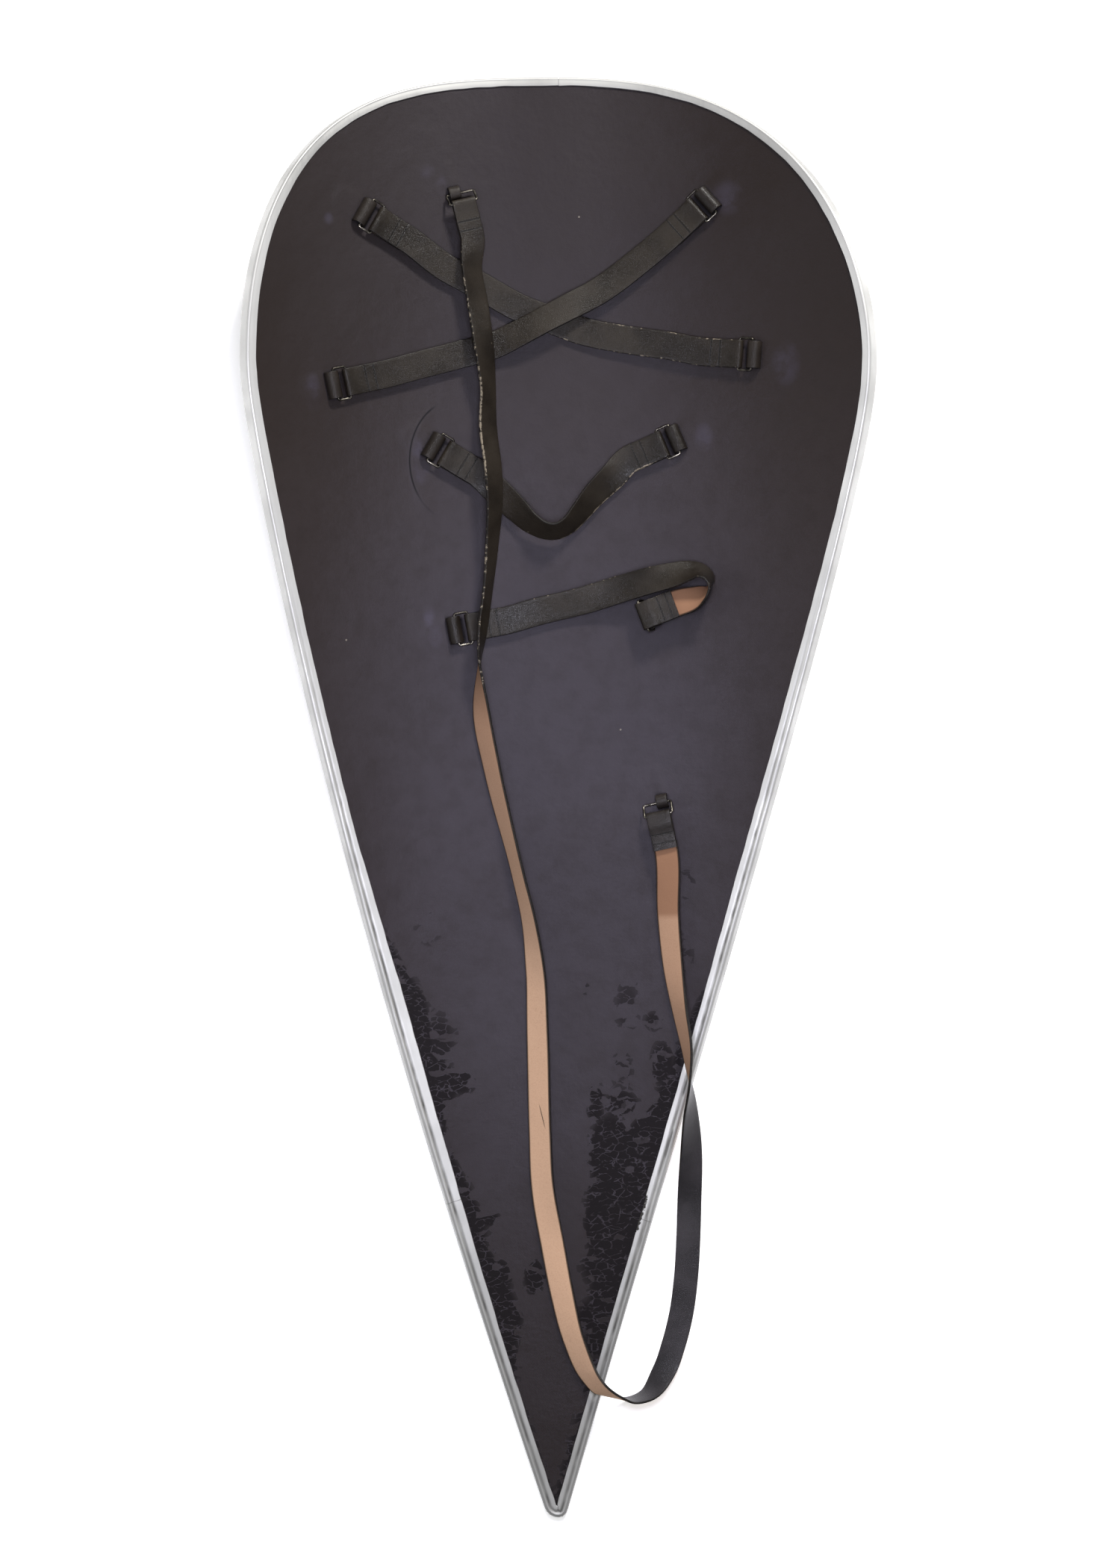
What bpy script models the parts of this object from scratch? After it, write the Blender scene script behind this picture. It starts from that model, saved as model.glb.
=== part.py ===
"""A kite shield lying on its curved front, with its straps up.

Metres, +Z up. X runs across the shield, Y from the point to the top edge.
The board is first laid out flat, with u across and y along, and then bent round a cylinder along Y.
Depths through the board run from -h on the front to +h on the hollow back.
The straps are laid out from above: x across, y from the widest line, and a lift above the back.
"""

import math
from typing import NamedTuple

import bmesh
import bpy
import numpy as np
from mathutils import Matrix, Vector

# Board and rim
SHIELD_LENGTH = 1.250
HALF_GIRTH = 0.288
CROWN_HEIGHT = 0.250
FLAT_WIDTH = 0.050
BEND_RADIUS = 0.380
BOARD_THICKNESS = 0.010
RIM_SHEET = 0.001
RIM_CORNER = 0.0025
RIM_WIDTH_TOP = 0.0075
RIM_WIDTH_TIP = 0.0102
LEFT_JOINT_HEIGHT = 0.273
RIGHT_JOINT_HEIGHT = 0.257
FIT_GAP = 0.0003

# Straps and what holds them
ARM_STRAP_WIDTH = 0.024
GUIGE_WIDTH = 0.021
LEATHER = 0.0022
FOLD_LENGTH = 0.030
WIRE = 0.002
RING_LONG = 0.0295
GUIGE_RING_LONG = 0.0265
RING_PITCH = 0.012
RING_CORNER = 0.0018
RING_LIFT = 0.0045
KEEPER_WIDTH = 0.0235
GUIGE_KEEPER_WIDTH = 0.010
GUIGE_KEEPER_SHIFT = 0.0045
KEEPER_LEATHER = 0.002
KEEPER_TOP = 0.008
KEEPER_LEG_REACH = 0.0066
KEEPER_FOOT_GAP = 0.0006
KEEPER_CORNER = 0.0025
# The fold's lower layer, from its cut edge towards the ring: the share of the fold's length, and how far
# the two layers have parted, from 0 where they touch to 1 where they part round the bar.
FOLD_LAYERS = ((1, 0), (0.7, 0), (0.42, 0), (0.28, 0.13), (0.15, 0.5))

# How finely curves are cut
CHORD_ERROR = 0.00013
MOST_STEP = 0.050
STRAP_STEP = 0.011
FINE = 500
RING_CORNER_PARTS = 3

RIM_HALF = BOARD_THICKNESS / 2 + FIT_GAP + RIM_SHEET
MID_HEIGHT = RIM_HALF
TOP = SHIELD_LENGTH / 2
TIP = -SHIELD_LENGTH / 2
WIDEST_LINE = TOP - CROWN_HEIGHT
# Places on the back are given from the middle of the widest line, in parts that follow the outline: 288 of
# them to the half girth, 1000 from the widest line to the point, and 8 to a keeper's height.
ACROSS_PART = HALF_GIRTH / 288
ALONG_PART = (WIDEST_LINE - TIP) / 1000
LIFT_PART = KEEPER_TOP / 8


class Flank(NamedTuple):
    """The free shape of one side of the outline, and its rim's flange from the widest line down.

    Each pair of rim is a place in outline parts and the flange's width there.
    """

    sign: int
    across: float
    along: float
    shoulder: float
    belly: float
    reach: float
    joint_height: float
    rim: tuple


LEFT_RIM = (
    (0, 0.0095),
    (-140, 0.0107),
    (-396, 0.0107),
    (-551, 0.0150),
    (-719, 0.0132),
    (-848, 0.0112),
    (-1000, RIM_WIDTH_TIP),
)
RIGHT_RIM = (
    (0, 0.0080),
    (-140, 0.0088),
    (-270, 0.0107),
    (-460, 0.0118),
    (-551, 0.0105),
    (-1000, RIM_WIDTH_TIP),
)
LEFT = Flank(-1, 3.0, 2.07, 0.037, 0.18, 0.0267, LEFT_JOINT_HEIGHT, LEFT_RIM)
RIGHT = Flank(1, 2.41, 1.79, 0.058, -0.03, 0.0207, RIGHT_JOINT_HEIGHT, RIGHT_RIM)


class Anchor(NamedTuple):
    """A keeper and its ring: place in outline parts, heading in degrees and how the strap is folded.

    The keeper may hold the ring's bar off its middle, by keeper_shift.
    """

    name: str
    x: float
    y: float
    heading: float
    ring_tilt: float = 0.0
    flipped: bool = False
    back_over: bool = False
    keeper_shift: float = 0.0
    keeper_width: float = KEEPER_WIDTH
    strap_width: float = ARM_STRAP_WIDTH
    ring_long: float = RING_LONG


GUIGE_FITTING = (GUIGE_KEEPER_WIDTH, GUIGE_WIDTH, GUIGE_RING_LONG)
ANCHORS = {
    anchor.name: anchor
    for anchor in (
        Anchor("first_left", -167, 128, -32),
        Anchor("first_right", 168, 6, 175),
        Anchor("second_left", -193, -21, 14.5),
        Anchor("second_right", 129, 140, 223),
        Anchor("middle_left", -108, -72, -31),
        Anchor("middle_right", 101, -65, 204),
        Anchor("lower_left", -89, -230, 11),
        Anchor("lower_right", 79, -217, 201, 70, True, True),
        Anchor("guige_left", -86, 148, -76, 40, False, False, -GUIGE_KEEPER_SHIFT, *GUIGE_FITTING),
        Anchor("guige_right", 86, -380, -78, 30, True, False, GUIGE_KEEPER_SHIFT, *GUIGE_FITTING),
    )
}

# Routes of the straps between their folds: x, y and lift in outline parts, and roll in degrees.
FIRST_ROUTE = [
    (-99, 84, 5.5, 0),
    (-66, 67, 4, 0),
    (-33, 49, 3, 0),
    (-6, 39, 2.8, 0),
    (22, 29, 3.2, 0),
    (56, 22, 4.5, 0),
    (98, 15, 5.8, 0),
]
SECOND_ROUTE = [
    (-121, -2, 6, 0),
    (-86, 8, 5, 0),
    (-55, 17, 6, 8),
    (-34, 27, 9, 16),
    (-13, 38, 10.4, 18),
    (8, 49, 9.6, 12),
    (34, 63, 7, 8),
    (68, 88, 6, 4),
]
MIDDLE_ROUTE = [
    (-55, -108, 7.5, -14),
    (-37, -125, 11, -30),
    (-23, -138, 14, -48),
    (-12, -144, 15, -56),
    (-3, -145, 15.5, -60),
    (8, -140, 15, -56),
    (18, -129, 14, -48),
    (30, -114, 11.5, -36),
    (47, -97, 8, -20),
]
LOWER_ROUTE = [
    (-22, -215, 6, 0),
    (23, -204, 8, 0),
    (53, -195, 12, 6),
    (78, -188, 17, 12),
    (99, -183, 18, 24),
    (112, -180, 17.5, 40),
    (122, -180, 17, 58),
    (129, -185, 16.5, 78),
    (131, -191, 16, 95),
    (128, -197, 15.5, 115),
    (120, -202, 14.5, 145),
]
GUIGE_DOWN = [
    (-75, 85, 14, 30),
    (-70, 53, 13.8, 28),
    (-64, 12, 18, 34),
    (-61, -20, 11, 50),
    (-61, -53, 10, 42),
    (-56, -96, 20, 44),
    (-55, -121, 19.5, 49),
    (-57, -150, 12.5, 56),
    (-61, -195, 16, 66),
    (-66, -235, 21, 67),
    (-68, -267, 12.5, 92),
    (-67, -297, 10.8, 124),
    (-57, -352, 9.8, 128),
    (-35, -441, 10.6, 118),
    (-25, -485, 10, 126),
    (-20, -525, 8, 142),
    (-18, -583, 6.3, 154),
    (-16, -665, 5.6, 157),
    (-14, -710, 4.8, 162),
    (-5, -764, 2.6, 178),
    (3, -805, 4.2, 166),
    (14, -847, 7, 151),
]
# Over the rim and beside the point the lift is the height above the floor.
GUIGE_FLOOR = [
    (26, -874, 20.5, 143),
    (37, -887, 25.5, 122),
    (51, -895, 15.5, 104),
    (62, -898, 11.8, 90),
    (76, -894, 10.4, 63),
    (92, -873, 5.4, 18),
    (100, -851, 3.4, 7),
    (106, -828, 2.2, 2),
    (111, -792, 1.7, 0),
    (113, -758, 1.7, 0),
    (114, -722, 2.6, -4),
    (115, -687, 11, -24),
    (114, -648, 28, -54),
    (113, -618, 37, -90),
    (111, -593, 36, -112),
]
GUIGE_UP = [
    (105, -560, 11, -136),
    (99, -520, 6.5, -156),
    (95, -475, 6.3, -166),
]


def clear_scene():
    for obj in list(bpy.data.objects):
        bpy.data.objects.remove(obj, do_unlink=True)


def finish(name, colour, roughness, metallic):
    """A plain material for one kind of piece."""
    material = bpy.data.materials.new(name)
    material.use_nodes = True
    shader = material.node_tree.nodes["Principled BSDF"]
    shader.inputs["Base Color"].default_value = (*colour, 1)
    shader.inputs["Roughness"].default_value = roughness
    shader.inputs["Metallic"].default_value = metallic
    material.diffuse_color = (*colour, 1)
    return material


def add_object(name, data, collection, material, parent=None):
    obj = bpy.data.objects.new(name, data)
    collection.objects.link(obj)
    data.materials.append(material)
    obj.parent = parent
    return obj


def bend(across, along, depth):
    """Carry flat points onto the shield: flat in the middle strip, and a cylinder on each side of it."""
    across, along, depth = np.broadcast_arrays(across, along, depth)
    over = np.maximum(np.abs(across) - FLAT_WIDTH / 2, 0)
    turn = over / BEND_RADIUS
    reach = np.minimum(np.abs(across), FLAT_WIDTH / 2) + (BEND_RADIUS - depth) * np.sin(turn)
    height = MID_HEIGHT + BEND_RADIUS * (1 - np.cos(turn)) + depth * np.cos(turn)
    return np.stack([np.sign(across) * reach, along, height], axis=-1)


def back_slope(x):
    """The board's tilt at a place on its back seen from above, signed as x is."""
    over = max(abs(x) - FLAT_WIDTH / 2, 0) / (BEND_RADIUS - BOARD_THICKNESS / 2)
    return math.copysign(math.asin(min(over, 1)), x)


def back_point(x, y):
    """The point on the board's back at this place seen from above."""
    slope = back_slope(x)
    height = MID_HEIGHT + BEND_RADIUS * (1 - math.cos(slope)) + BOARD_THICKNESS / 2 * math.cos(slope)
    return Vector((x, y, height))


def back_normal(x):
    slope = back_slope(x)
    return Vector((-math.sin(slope), 0, math.cos(slope)))


class HalfOutline:
    """One side of the rim's outer edge, flat, from the middle of the top edge to the point."""

    def __init__(self, flank):
        self.flank = flank
        self.across, self.along = self.trace()
        steps = np.hypot(np.diff(self.across), np.diff(self.along))
        self.run = np.concatenate([[0], np.cumsum(steps)])
        slope_u = np.gradient(self.across, self.run)
        slope_y = np.gradient(self.along, self.run)
        size = np.hypot(slope_u, slope_y)
        # Inwards is to the right of the way round from the top.
        self.inward_u = slope_y / size
        self.inward_y = -slope_u / size
        heading = np.unwrap(np.arctan2(slope_y, slope_u))
        plan_bend = np.abs(np.gradient(heading, self.run))
        roll_bend = (slope_u / size) ** 2 / BEND_RADIUS
        need = np.sqrt((plan_bend + roll_bend) / (8 * CHORD_ERROR))
        need = np.maximum(need, 1 / MOST_STEP)
        self.count = np.concatenate([[0], np.cumsum(steps * (need[1:] + need[:-1]) / 2)])
        joint_y = TIP + flank.joint_height
        self.joint = float(np.interp(-joint_y, -self.along, self.run))
        parts, widths = zip(*flank.rim)
        heights = WIDEST_LINE + np.array(parts) * ALONG_PART
        self.rim_places = [0, *np.interp(-heights, -self.along, self.run)]
        self.rim_widths = [RIM_WIDTH_TOP, *widths]

    def trace(self):
        """A superellipse down to the widest line, a nearly straight flank, and a round nose."""
        flank = self.flank
        turn = np.linspace(0, math.pi / 2, FINE)
        crown_u = HALF_GIRTH * np.sin(turn) ** (2 / flank.across)
        crown_y = WIDEST_LINE + CROWN_HEIGHT * np.cos(turn) ** (2 / flank.along)
        share = np.linspace(0, 1, FINE)[1:]
        easing = np.sqrt(share**2 + flank.shoulder**2) - flank.shoulder
        closing = easing / (math.sqrt(1 + flank.shoulder**2) - flank.shoulder)
        flank_u = HALF_GIRTH * (1 - closing + flank.belly * closing * (1 - closing))
        flank_y = WIDEST_LINE - share * (WIDEST_LINE - TIP + flank.reach)
        slant = math.atan2(flank_u[-2] - flank_u[-1], flank_y[-2] - flank_y[-1])
        nose = flank.reach * math.sin(slant) / (1 - math.sin(slant))
        kept = flank_y > TIP + nose * (1 - math.sin(slant))
        swing = np.linspace(slant, math.pi / 2, FINE // 10)
        nose_u = nose * np.cos(swing)
        nose_y = TIP + nose * (1 - np.sin(swing))
        nose_u[-1] = 0
        across = np.concatenate([crown_u, flank_u[kept], nose_u])
        along = np.concatenate([crown_y, flank_y[kept], nose_y])
        return across, along

    def stations(self, start, end):
        """Places from start to end whose chords stay within the chord error."""
        first, last = np.interp([start, end], self.run, self.count)
        parts = max(1, math.ceil(last - first))
        return np.interp(np.linspace(first, last, parts + 1), self.count, self.run)

    def rim_width(self, at):
        """The flange's width, from the top edge down through the flank's own widths."""
        return np.interp(at, self.rim_places, self.rim_widths)

    def middle_crossing(self, inset):
        """Where the line that lies this far inside the edge meets the middle line, near the point."""
        across = self.across + self.inward_u * inset
        along = self.along + self.inward_y * inset
        low = np.flatnonzero((across <= 0) & (along < 0))
        return float(along[low[0]]) if len(low) else TIP + inset


HALVES = {"left": HalfOutline(LEFT), "right": HalfOutline(RIGHT)}


def nose_level(inset):
    return sum(half.middle_crossing(inset) for half in HALVES.values()) / len(HALVES)


def inset_points(half, at, inset):
    """Flat points this far inside the edge, held at the middle line where the two sides meet."""
    across = np.interp(at, half.run, half.across) + np.interp(at, half.run, half.inward_u) * inset
    along = np.interp(at, half.run, half.along) + np.interp(at, half.run, half.inward_y) * inset
    met = (along < 0) & (across <= FIT_GAP / 10)
    across = np.where(met, 0, np.maximum(across, 0))
    along = np.where(met, nose_level(float(np.max(inset))), along)
    return half.flank.sign * across, along


def rim_section():
    """The channel's cross-section, from the back lip round to the front lip.

    Each place is a share of the flange's width, a fixed inset and a depth.
    """
    rounding = []
    for angle in (math.pi / 2, math.pi / 4, 0):
        inset = RIM_CORNER * (1 - math.cos(angle))
        rounding.append((0, inset, RIM_HALF - RIM_CORNER * (1 - math.sin(angle))))
    front = [(share, inset, -depth) for share, inset, depth in reversed(rounding)]
    inner = RIM_HALF - RIM_SHEET
    outside = [(1, 0, RIM_HALF), *rounding, *front, (1, 0, -RIM_HALF)]
    inside = [(1, 0, -inner), (0, RIM_SHEET, -inner), (0, RIM_SHEET, inner), (1, 0, inner)]
    return outside + inside


def rim_rows(half, at, width):
    """Bent points of the channel: one row of section points for each station."""
    columns = []
    for share, inset, depth in rim_section():
        insets = np.broadcast_to(share * width + inset, at.shape)
        across, along = inset_points(half, at, insets)
        columns.append(bend(across, along, depth))
    return np.stack(columns, axis=1)


def loft(name, rows):
    """A solid through closed sections of equal count, capped at both ends."""
    shape = bmesh.new()
    rings = [[shape.verts.new(point) for point in row] for row in rows]
    for lower, upper in zip(rings, rings[1:]):
        for k in range(len(lower)):
            after = (k + 1) % len(lower)
            shape.faces.new((lower[k], lower[after], upper[after], upper[k]))
    shape.faces.new(rings[0])
    shape.faces.new(rings[-1])
    bmesh.ops.remove_doubles(shape, verts=shape.verts, dist=FIT_GAP / 100)
    bmesh.ops.recalc_face_normals(shape, faces=shape.faces)
    mesh = bpy.data.meshes.new(name)
    shape.to_mesh(mesh)
    shape.free()
    return mesh


def build_rim(collection, steel):
    """Three channels that meet at the middle of the top edge and at one joint on each flank."""
    half_gap = FIT_GAP / 2
    for side, half in HALVES.items():
        at = half.stations(half_gap, half.joint - half_gap)
        mesh = loft("rim_" + side, rim_rows(half, at, half.rim_width(at)))
        add_object("rim_" + side, mesh, collection, steel)
    left, right = HALVES["left"], HALVES["right"]
    down = left.stations(left.joint + half_gap, left.run[-1])
    up = right.stations(right.joint + half_gap, right.run[-1])[::-1]
    left_rows = rim_rows(left, down, left.rim_width(down))
    right_rows = rim_rows(right, up[1:], right.rim_width(up[1:]))
    rows = np.concatenate([left_rows, right_rows])
    add_object("rim_tip", loft("rim_tip", rows), collection, steel)


def board_outline():
    """Flat points of the board's edge, which lies inside the channel, clockwise from the top."""
    inset = RIM_SHEET + FIT_GAP
    sides = {}
    for side, half in HALVES.items():
        upper = half.stations(0, half.joint)
        lower = half.stations(half.joint, half.run[-1])
        at = np.concatenate([upper, lower[1:]])
        sides[side] = np.column_stack(inset_points(half, at, np.full(at.shape, inset)))
    return np.concatenate([sides["right"], sides["left"][-2:0:-1]])


def build_board(collection, leather):
    """The flat outline given its thickness, cut into strips along Y and bent."""
    shape = bmesh.new()
    low = -BOARD_THICKNESS / 2
    outline = [shape.verts.new((u, y, low)) for u, y in board_outline()]
    lower_face = shape.faces.new(outline)
    raised = bmesh.ops.extrude_face_region(shape, geom=[lower_face])
    upper = [item for item in raised["geom"] if isinstance(item, bmesh.types.BMVert)]
    bmesh.ops.translate(shape, verts=upper, vec=(0, 0, BOARD_THICKNESS))
    strip = math.sqrt(8 * CHORD_ERROR * BEND_RADIUS)
    bent_width = HALF_GIRTH - FLAT_WIDTH / 2
    parts = math.ceil(bent_width / strip)
    cuts = FLAT_WIDTH / 2 + np.arange(parts) * bent_width / parts
    for cut in np.concatenate([-cuts[::-1], cuts]):
        everything = shape.verts[:] + shape.edges[:] + shape.faces[:]
        bmesh.ops.bisect_plane(shape, geom=everything, plane_co=(cut, 0, 0), plane_no=(1, 0, 0))
    for vert in shape.verts:
        vert.co = Vector(bend(vert.co.x, vert.co.y, vert.co.z))
    bmesh.ops.recalc_face_normals(shape, faces=shape.faces)
    mesh = bpy.data.meshes.new("board")
    shape.to_mesh(mesh)
    shape.free()
    add_object("board", mesh, collection, leather)


def anchor_matrix(anchor):
    """The anchor's own frame on the board's back: X towards the strap and Z square to the board."""
    x = anchor.x * ACROSS_PART
    y = WIDEST_LINE + anchor.y * ALONG_PART
    slope = back_slope(x)
    heading = math.radians(anchor.heading)
    # A heading seen from above is longer on the slope than it looks.
    uphill = Vector((math.cos(slope), 0, math.sin(slope))) * (math.cos(heading) / math.cos(slope))
    forward = (uphill + Vector((0, math.sin(heading), 0))).normalized()
    normal = back_normal(x)
    side = normal.cross(forward)
    turned = Matrix((forward, side, normal)).transposed().to_4x4()
    return Matrix.Translation(back_point(x, y)) @ turned


def ring_outline(ring_long):
    """Points of a rounded rectangle, one long bar on the Y axis and the other a pitch away in X."""
    half_x = RING_PITCH / 2
    half_y = (ring_long - WIRE) / 2
    points = []
    corners = ((1, 1, 0), (-1, 1, 90), (-1, -1, 180), (1, -1, 270))
    for side_x, side_y, start in corners:
        for step in range(RING_CORNER_PARTS + 1):
            angle = math.radians(start + step * 90 / RING_CORNER_PARTS)
            x = side_x * (half_x - RING_CORNER) + RING_CORNER * math.cos(angle)
            y = side_y * (half_y - RING_CORNER) + RING_CORNER * math.sin(angle)
            points.append((x + half_x, y, 0))
    return points


def ring_mesh(name, ring_long):
    """The ring's wire as a closed round tube."""
    curve = bpy.data.curves.new(name, "CURVE")
    curve.dimensions = "3D"
    curve.bevel_depth = WIRE / 2
    curve.bevel_resolution = 1
    spline = curve.splines.new("POLY")
    points = ring_outline(ring_long)
    spline.points.add(len(points) - 1)
    for place, point in zip(spline.points, points):
        place.co = (*point, 1)
    spline.use_cyclic_u = True
    return curve


def ribbon(name, points, sides, width):
    """A strip of even width along a path, as an open surface that Solidify makes thick on both sides."""
    shape = bmesh.new()
    rows = []
    for point, side in zip(points, sides):
        near = shape.verts.new(Vector(point) - Vector(side) * width / 2)
        far = shape.verts.new(Vector(point) + Vector(side) * width / 2)
        rows.append((near, far))
    for (a, b), (c, d) in zip(rows, rows[1:]):
        shape.faces.new((a, c, d, b))
    mesh = bpy.data.meshes.new(name)
    shape.to_mesh(mesh)
    shape.free()
    return mesh


def thicken(obj, thickness):
    wall = obj.modifiers.new("Leather", "SOLIDIFY")
    wall.thickness = thickness
    wall.offset = 0
    wall.use_even_offset = True


def keeper_profile():
    """The keeper's middle line from one foot over the ring's bar to the other, in its anchor's XZ plane."""
    foot = KEEPER_FOOT_GAP
    top = KEEPER_TOP - KEEPER_LEATHER / 2
    near_leg = KEEPER_LEG_REACH / 2 + KEEPER_LEATHER / 2
    far_leg = -near_leg - KEEPER_LEATHER
    corner = KEEPER_CORNER
    profile = [(far_leg, foot), (far_leg, top - corner), (far_leg + corner, top)]
    profile += [(near_leg - corner, top), (near_leg, top - corner), (near_leg, foot)]
    return profile


def build_anchor(anchor, collection, leather, wire):
    """An empty on the board's back that carries a keeper and a ring."""
    empty = bpy.data.objects.new("anchor_" + anchor.name, None)
    empty.empty_display_size = RING_LONG
    empty.matrix_world = anchor_matrix(anchor)
    collection.objects.link(empty)
    path = [(x, anchor.keeper_shift, z) for x, z in keeper_profile()]
    sides = [(0, 1, 0)] * len(path)
    mesh = ribbon("keeper_" + anchor.name, path, sides, anchor.keeper_width)
    keeper = add_object("keeper_" + anchor.name, mesh, collection, leather, empty)
    thicken(keeper, KEEPER_LEATHER)
    wire_mesh = ring_mesh("ring_" + anchor.name, anchor.ring_long)
    ring = add_object("ring_" + anchor.name, wire_mesh, collection, wire, empty)
    ring.location = (0, 0, RING_LIFT)
    ring.rotation_euler = (0, -math.radians(anchor.ring_tilt), 0)


def fold_path(anchor):
    """The strap's end, from its cut edge round the ring's bar to where it leaves for the other side.

    Returns world points, the strap's side vector and the board's normal there.
    """
    frame = anchor_matrix(anchor)
    forward, side, normal = (frame.col[k].to_3d() for k in range(3))
    tilt = math.radians(anchor.ring_tilt)
    bar = frame.translation + forward * RING_PITCH * math.cos(tilt)
    bar += normal * (RING_LIFT + RING_PITCH * math.sin(tilt))
    away = -forward if anchor.back_over else forward
    wrap = WIRE / 2 + FIT_GAP + LEATHER / 2
    together = (LEATHER + FIT_GAP) / 2
    layer = []
    for share, parted in FOLD_LAYERS:
        layer.append((share * FOLD_LENGTH, -together - parted * (wrap - together)))
    turn = [math.radians(degrees) for degrees in range(-90, -271, -30)]
    round_bar = [(wrap * math.cos(a), wrap * math.sin(a)) for a in turn]
    profile = layer + round_bar + [(a, -b) for a, b in reversed(layer)]
    flip = -1 if anchor.flipped else 1
    # The board rises as it bends, and the strap's end rises with it.
    slope = back_slope(frame.translation.x)
    uphill = forward.dot(Vector((math.cos(slope), 0, math.sin(slope))))
    points = []
    for a, b in profile:
        point = bar + away * a + normal * b * flip
        out = (point - frame.translation).dot(forward) * uphill
        rise = max(0, out**2 / (2 * BEND_RADIUS)) if a > 0 else 0
        points.append(point + normal * rise)
    return points, side


def route_points(route, from_floor=False):
    """World points of a strap's route, with the roll at each and the slope of what it lies over."""
    points = []
    for x, y, lift, roll in route:
        place = Vector((x * ACROSS_PART, WIDEST_LINE + y * ALONG_PART, lift * LIFT_PART))
        slope = 0.0
        if not from_floor:
            place.z += back_point(place.x, 0).z
            slope = back_slope(place.x)
        points.append((*place, math.radians(roll), slope))
    return points


def smooth_path(points):
    """A smooth curve through the points, read off at steps of about one strap step."""
    given = np.array(points, float)
    gaps = np.linalg.norm(np.diff(given[:, :3], axis=0), axis=1)
    at = np.concatenate([[0], np.cumsum(gaps)])
    slopes = np.gradient(given, at, axis=0)
    fine = []
    for k, gap in enumerate(gaps):
        parts = max(1, round(gap / STRAP_STEP))
        share = np.arange(parts)[:, None] / parts
        start = (1 + 2 * share) * (1 - share) ** 2 * given[k] + share**2 * (3 - 2 * share) * given[k + 1]
        leave = share * (1 - share) ** 2 * gap * slopes[k]
        arrive = share**2 * (share - 1) * gap * slopes[k + 1]
        fine.append(start + leave + arrive)
    return np.concatenate([*fine, given[-1:]])


def strap_sides(path, start_side, end_side, first, last):
    """The side vector at each point: held at the folds, and turned by the roll between them."""
    points, rolls, slopes = path[:, :3], path[:, 3], path[:, 4]
    tangents = np.gradient(points, axis=0)
    tangents /= np.linalg.norm(tangents, axis=1, keepdims=True)
    sides = []
    for k, (roll, slope, tangent) in enumerate(zip(rolls, slopes, tangents)):
        if k <= first:
            side = np.array(start_side)
        elif k >= last:
            side = np.array(end_side)
        else:
            normal = np.array((-math.sin(slope), 0, math.cos(slope)))
            flat_side = np.cross(normal, tangent)
            flat_side /= np.linalg.norm(flat_side)
            up = np.cross(tangent, flat_side)
            side = math.cos(roll) * flat_side - math.sin(roll) * up
        sides.append(side)
    return sides


def build_strap(name, start, end, route, collection, leather):
    """One strap: a fold on the first ring, the route, and a fold on the second ring."""
    start, end = ANCHORS[start], ANCHORS[end]
    opening, start_side = fold_path(start)
    closing, end_side = fold_path(end)
    closing.reverse()
    last_roll = math.copysign(math.pi, route[-1][3]) if end.flipped else 0.0
    given = [(*point, 0.0, back_slope(start.x * ACROSS_PART)) for point in opening]
    given += route
    given += [(*point, last_roll, back_slope(end.x * ACROSS_PART)) for point in closing]
    path = smooth_path(given)
    first = int(np.argmin(np.linalg.norm(path[:, :3] - np.array(opening[-1]), axis=1)))
    last = int(np.argmin(np.linalg.norm(path[:, :3] - np.array(closing[0]), axis=1)))
    arriving = -1 if not (end.flipped ^ end.back_over) else 1
    end_side = end_side * arriving
    sides = strap_sides(path, start_side, end_side, first, last)
    mesh = ribbon(name, path[:, :3], sides, start.strap_width)
    strap = add_object(name, mesh, collection, leather)
    thicken(strap, LEATHER)


def main():
    clear_scene()
    collection = bpy.data.collections.new("kite_shield")
    bpy.context.scene.collection.children.link(collection)
    facing = finish("facing", (0.045, 0.040, 0.042), 0.7, 0.0)
    steel = finish("rim_steel", (0.72, 0.72, 0.70), 0.3, 1.0)
    wire = finish("ring_steel", (0.35, 0.34, 0.32), 0.35, 1.0)
    keeper_leather = finish("keeper_leather", (0.045, 0.04, 0.045), 0.6, 0.0)
    strap_leather = finish("strap_leather", (0.05, 0.045, 0.04), 0.55, 0.0)
    build_board(collection, facing)
    build_rim(collection, steel)
    for anchor in ANCHORS.values():
        build_anchor(anchor, collection, keeper_leather, wire)
    guige = route_points(GUIGE_DOWN) + route_points(GUIGE_FLOOR, True) + route_points(GUIGE_UP)
    straps = (
        ("first_cross_strap", "first_left", "first_right", route_points(FIRST_ROUTE)),
        ("second_cross_strap", "second_left", "second_right", route_points(SECOND_ROUTE)),
        ("middle_strap", "middle_left", "middle_right", route_points(MIDDLE_ROUTE)),
        ("lower_strap", "lower_left", "lower_right", route_points(LOWER_ROUTE)),
        ("guige_strap", "guige_left", "guige_right", guige),
    )
    for name, start, end, route in straps:
        build_strap(name, start, end, route, collection, strap_leather)


main()
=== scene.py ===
"""The looks of a kite shield that lies on its curved front with its straps up.

Metres, +Z up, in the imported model's own frame: X runs across the shield and Y from the point to the top edge.
The board and the rim are first laid out flat, with u across and y along, and then bent round a cylinder
along Y. Places on the back are given from the middle of the widest line, as in the part's own source.
"""

from __future__ import annotations

import logging
import math
from dataclasses import dataclass, field
from enum import Enum

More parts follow.
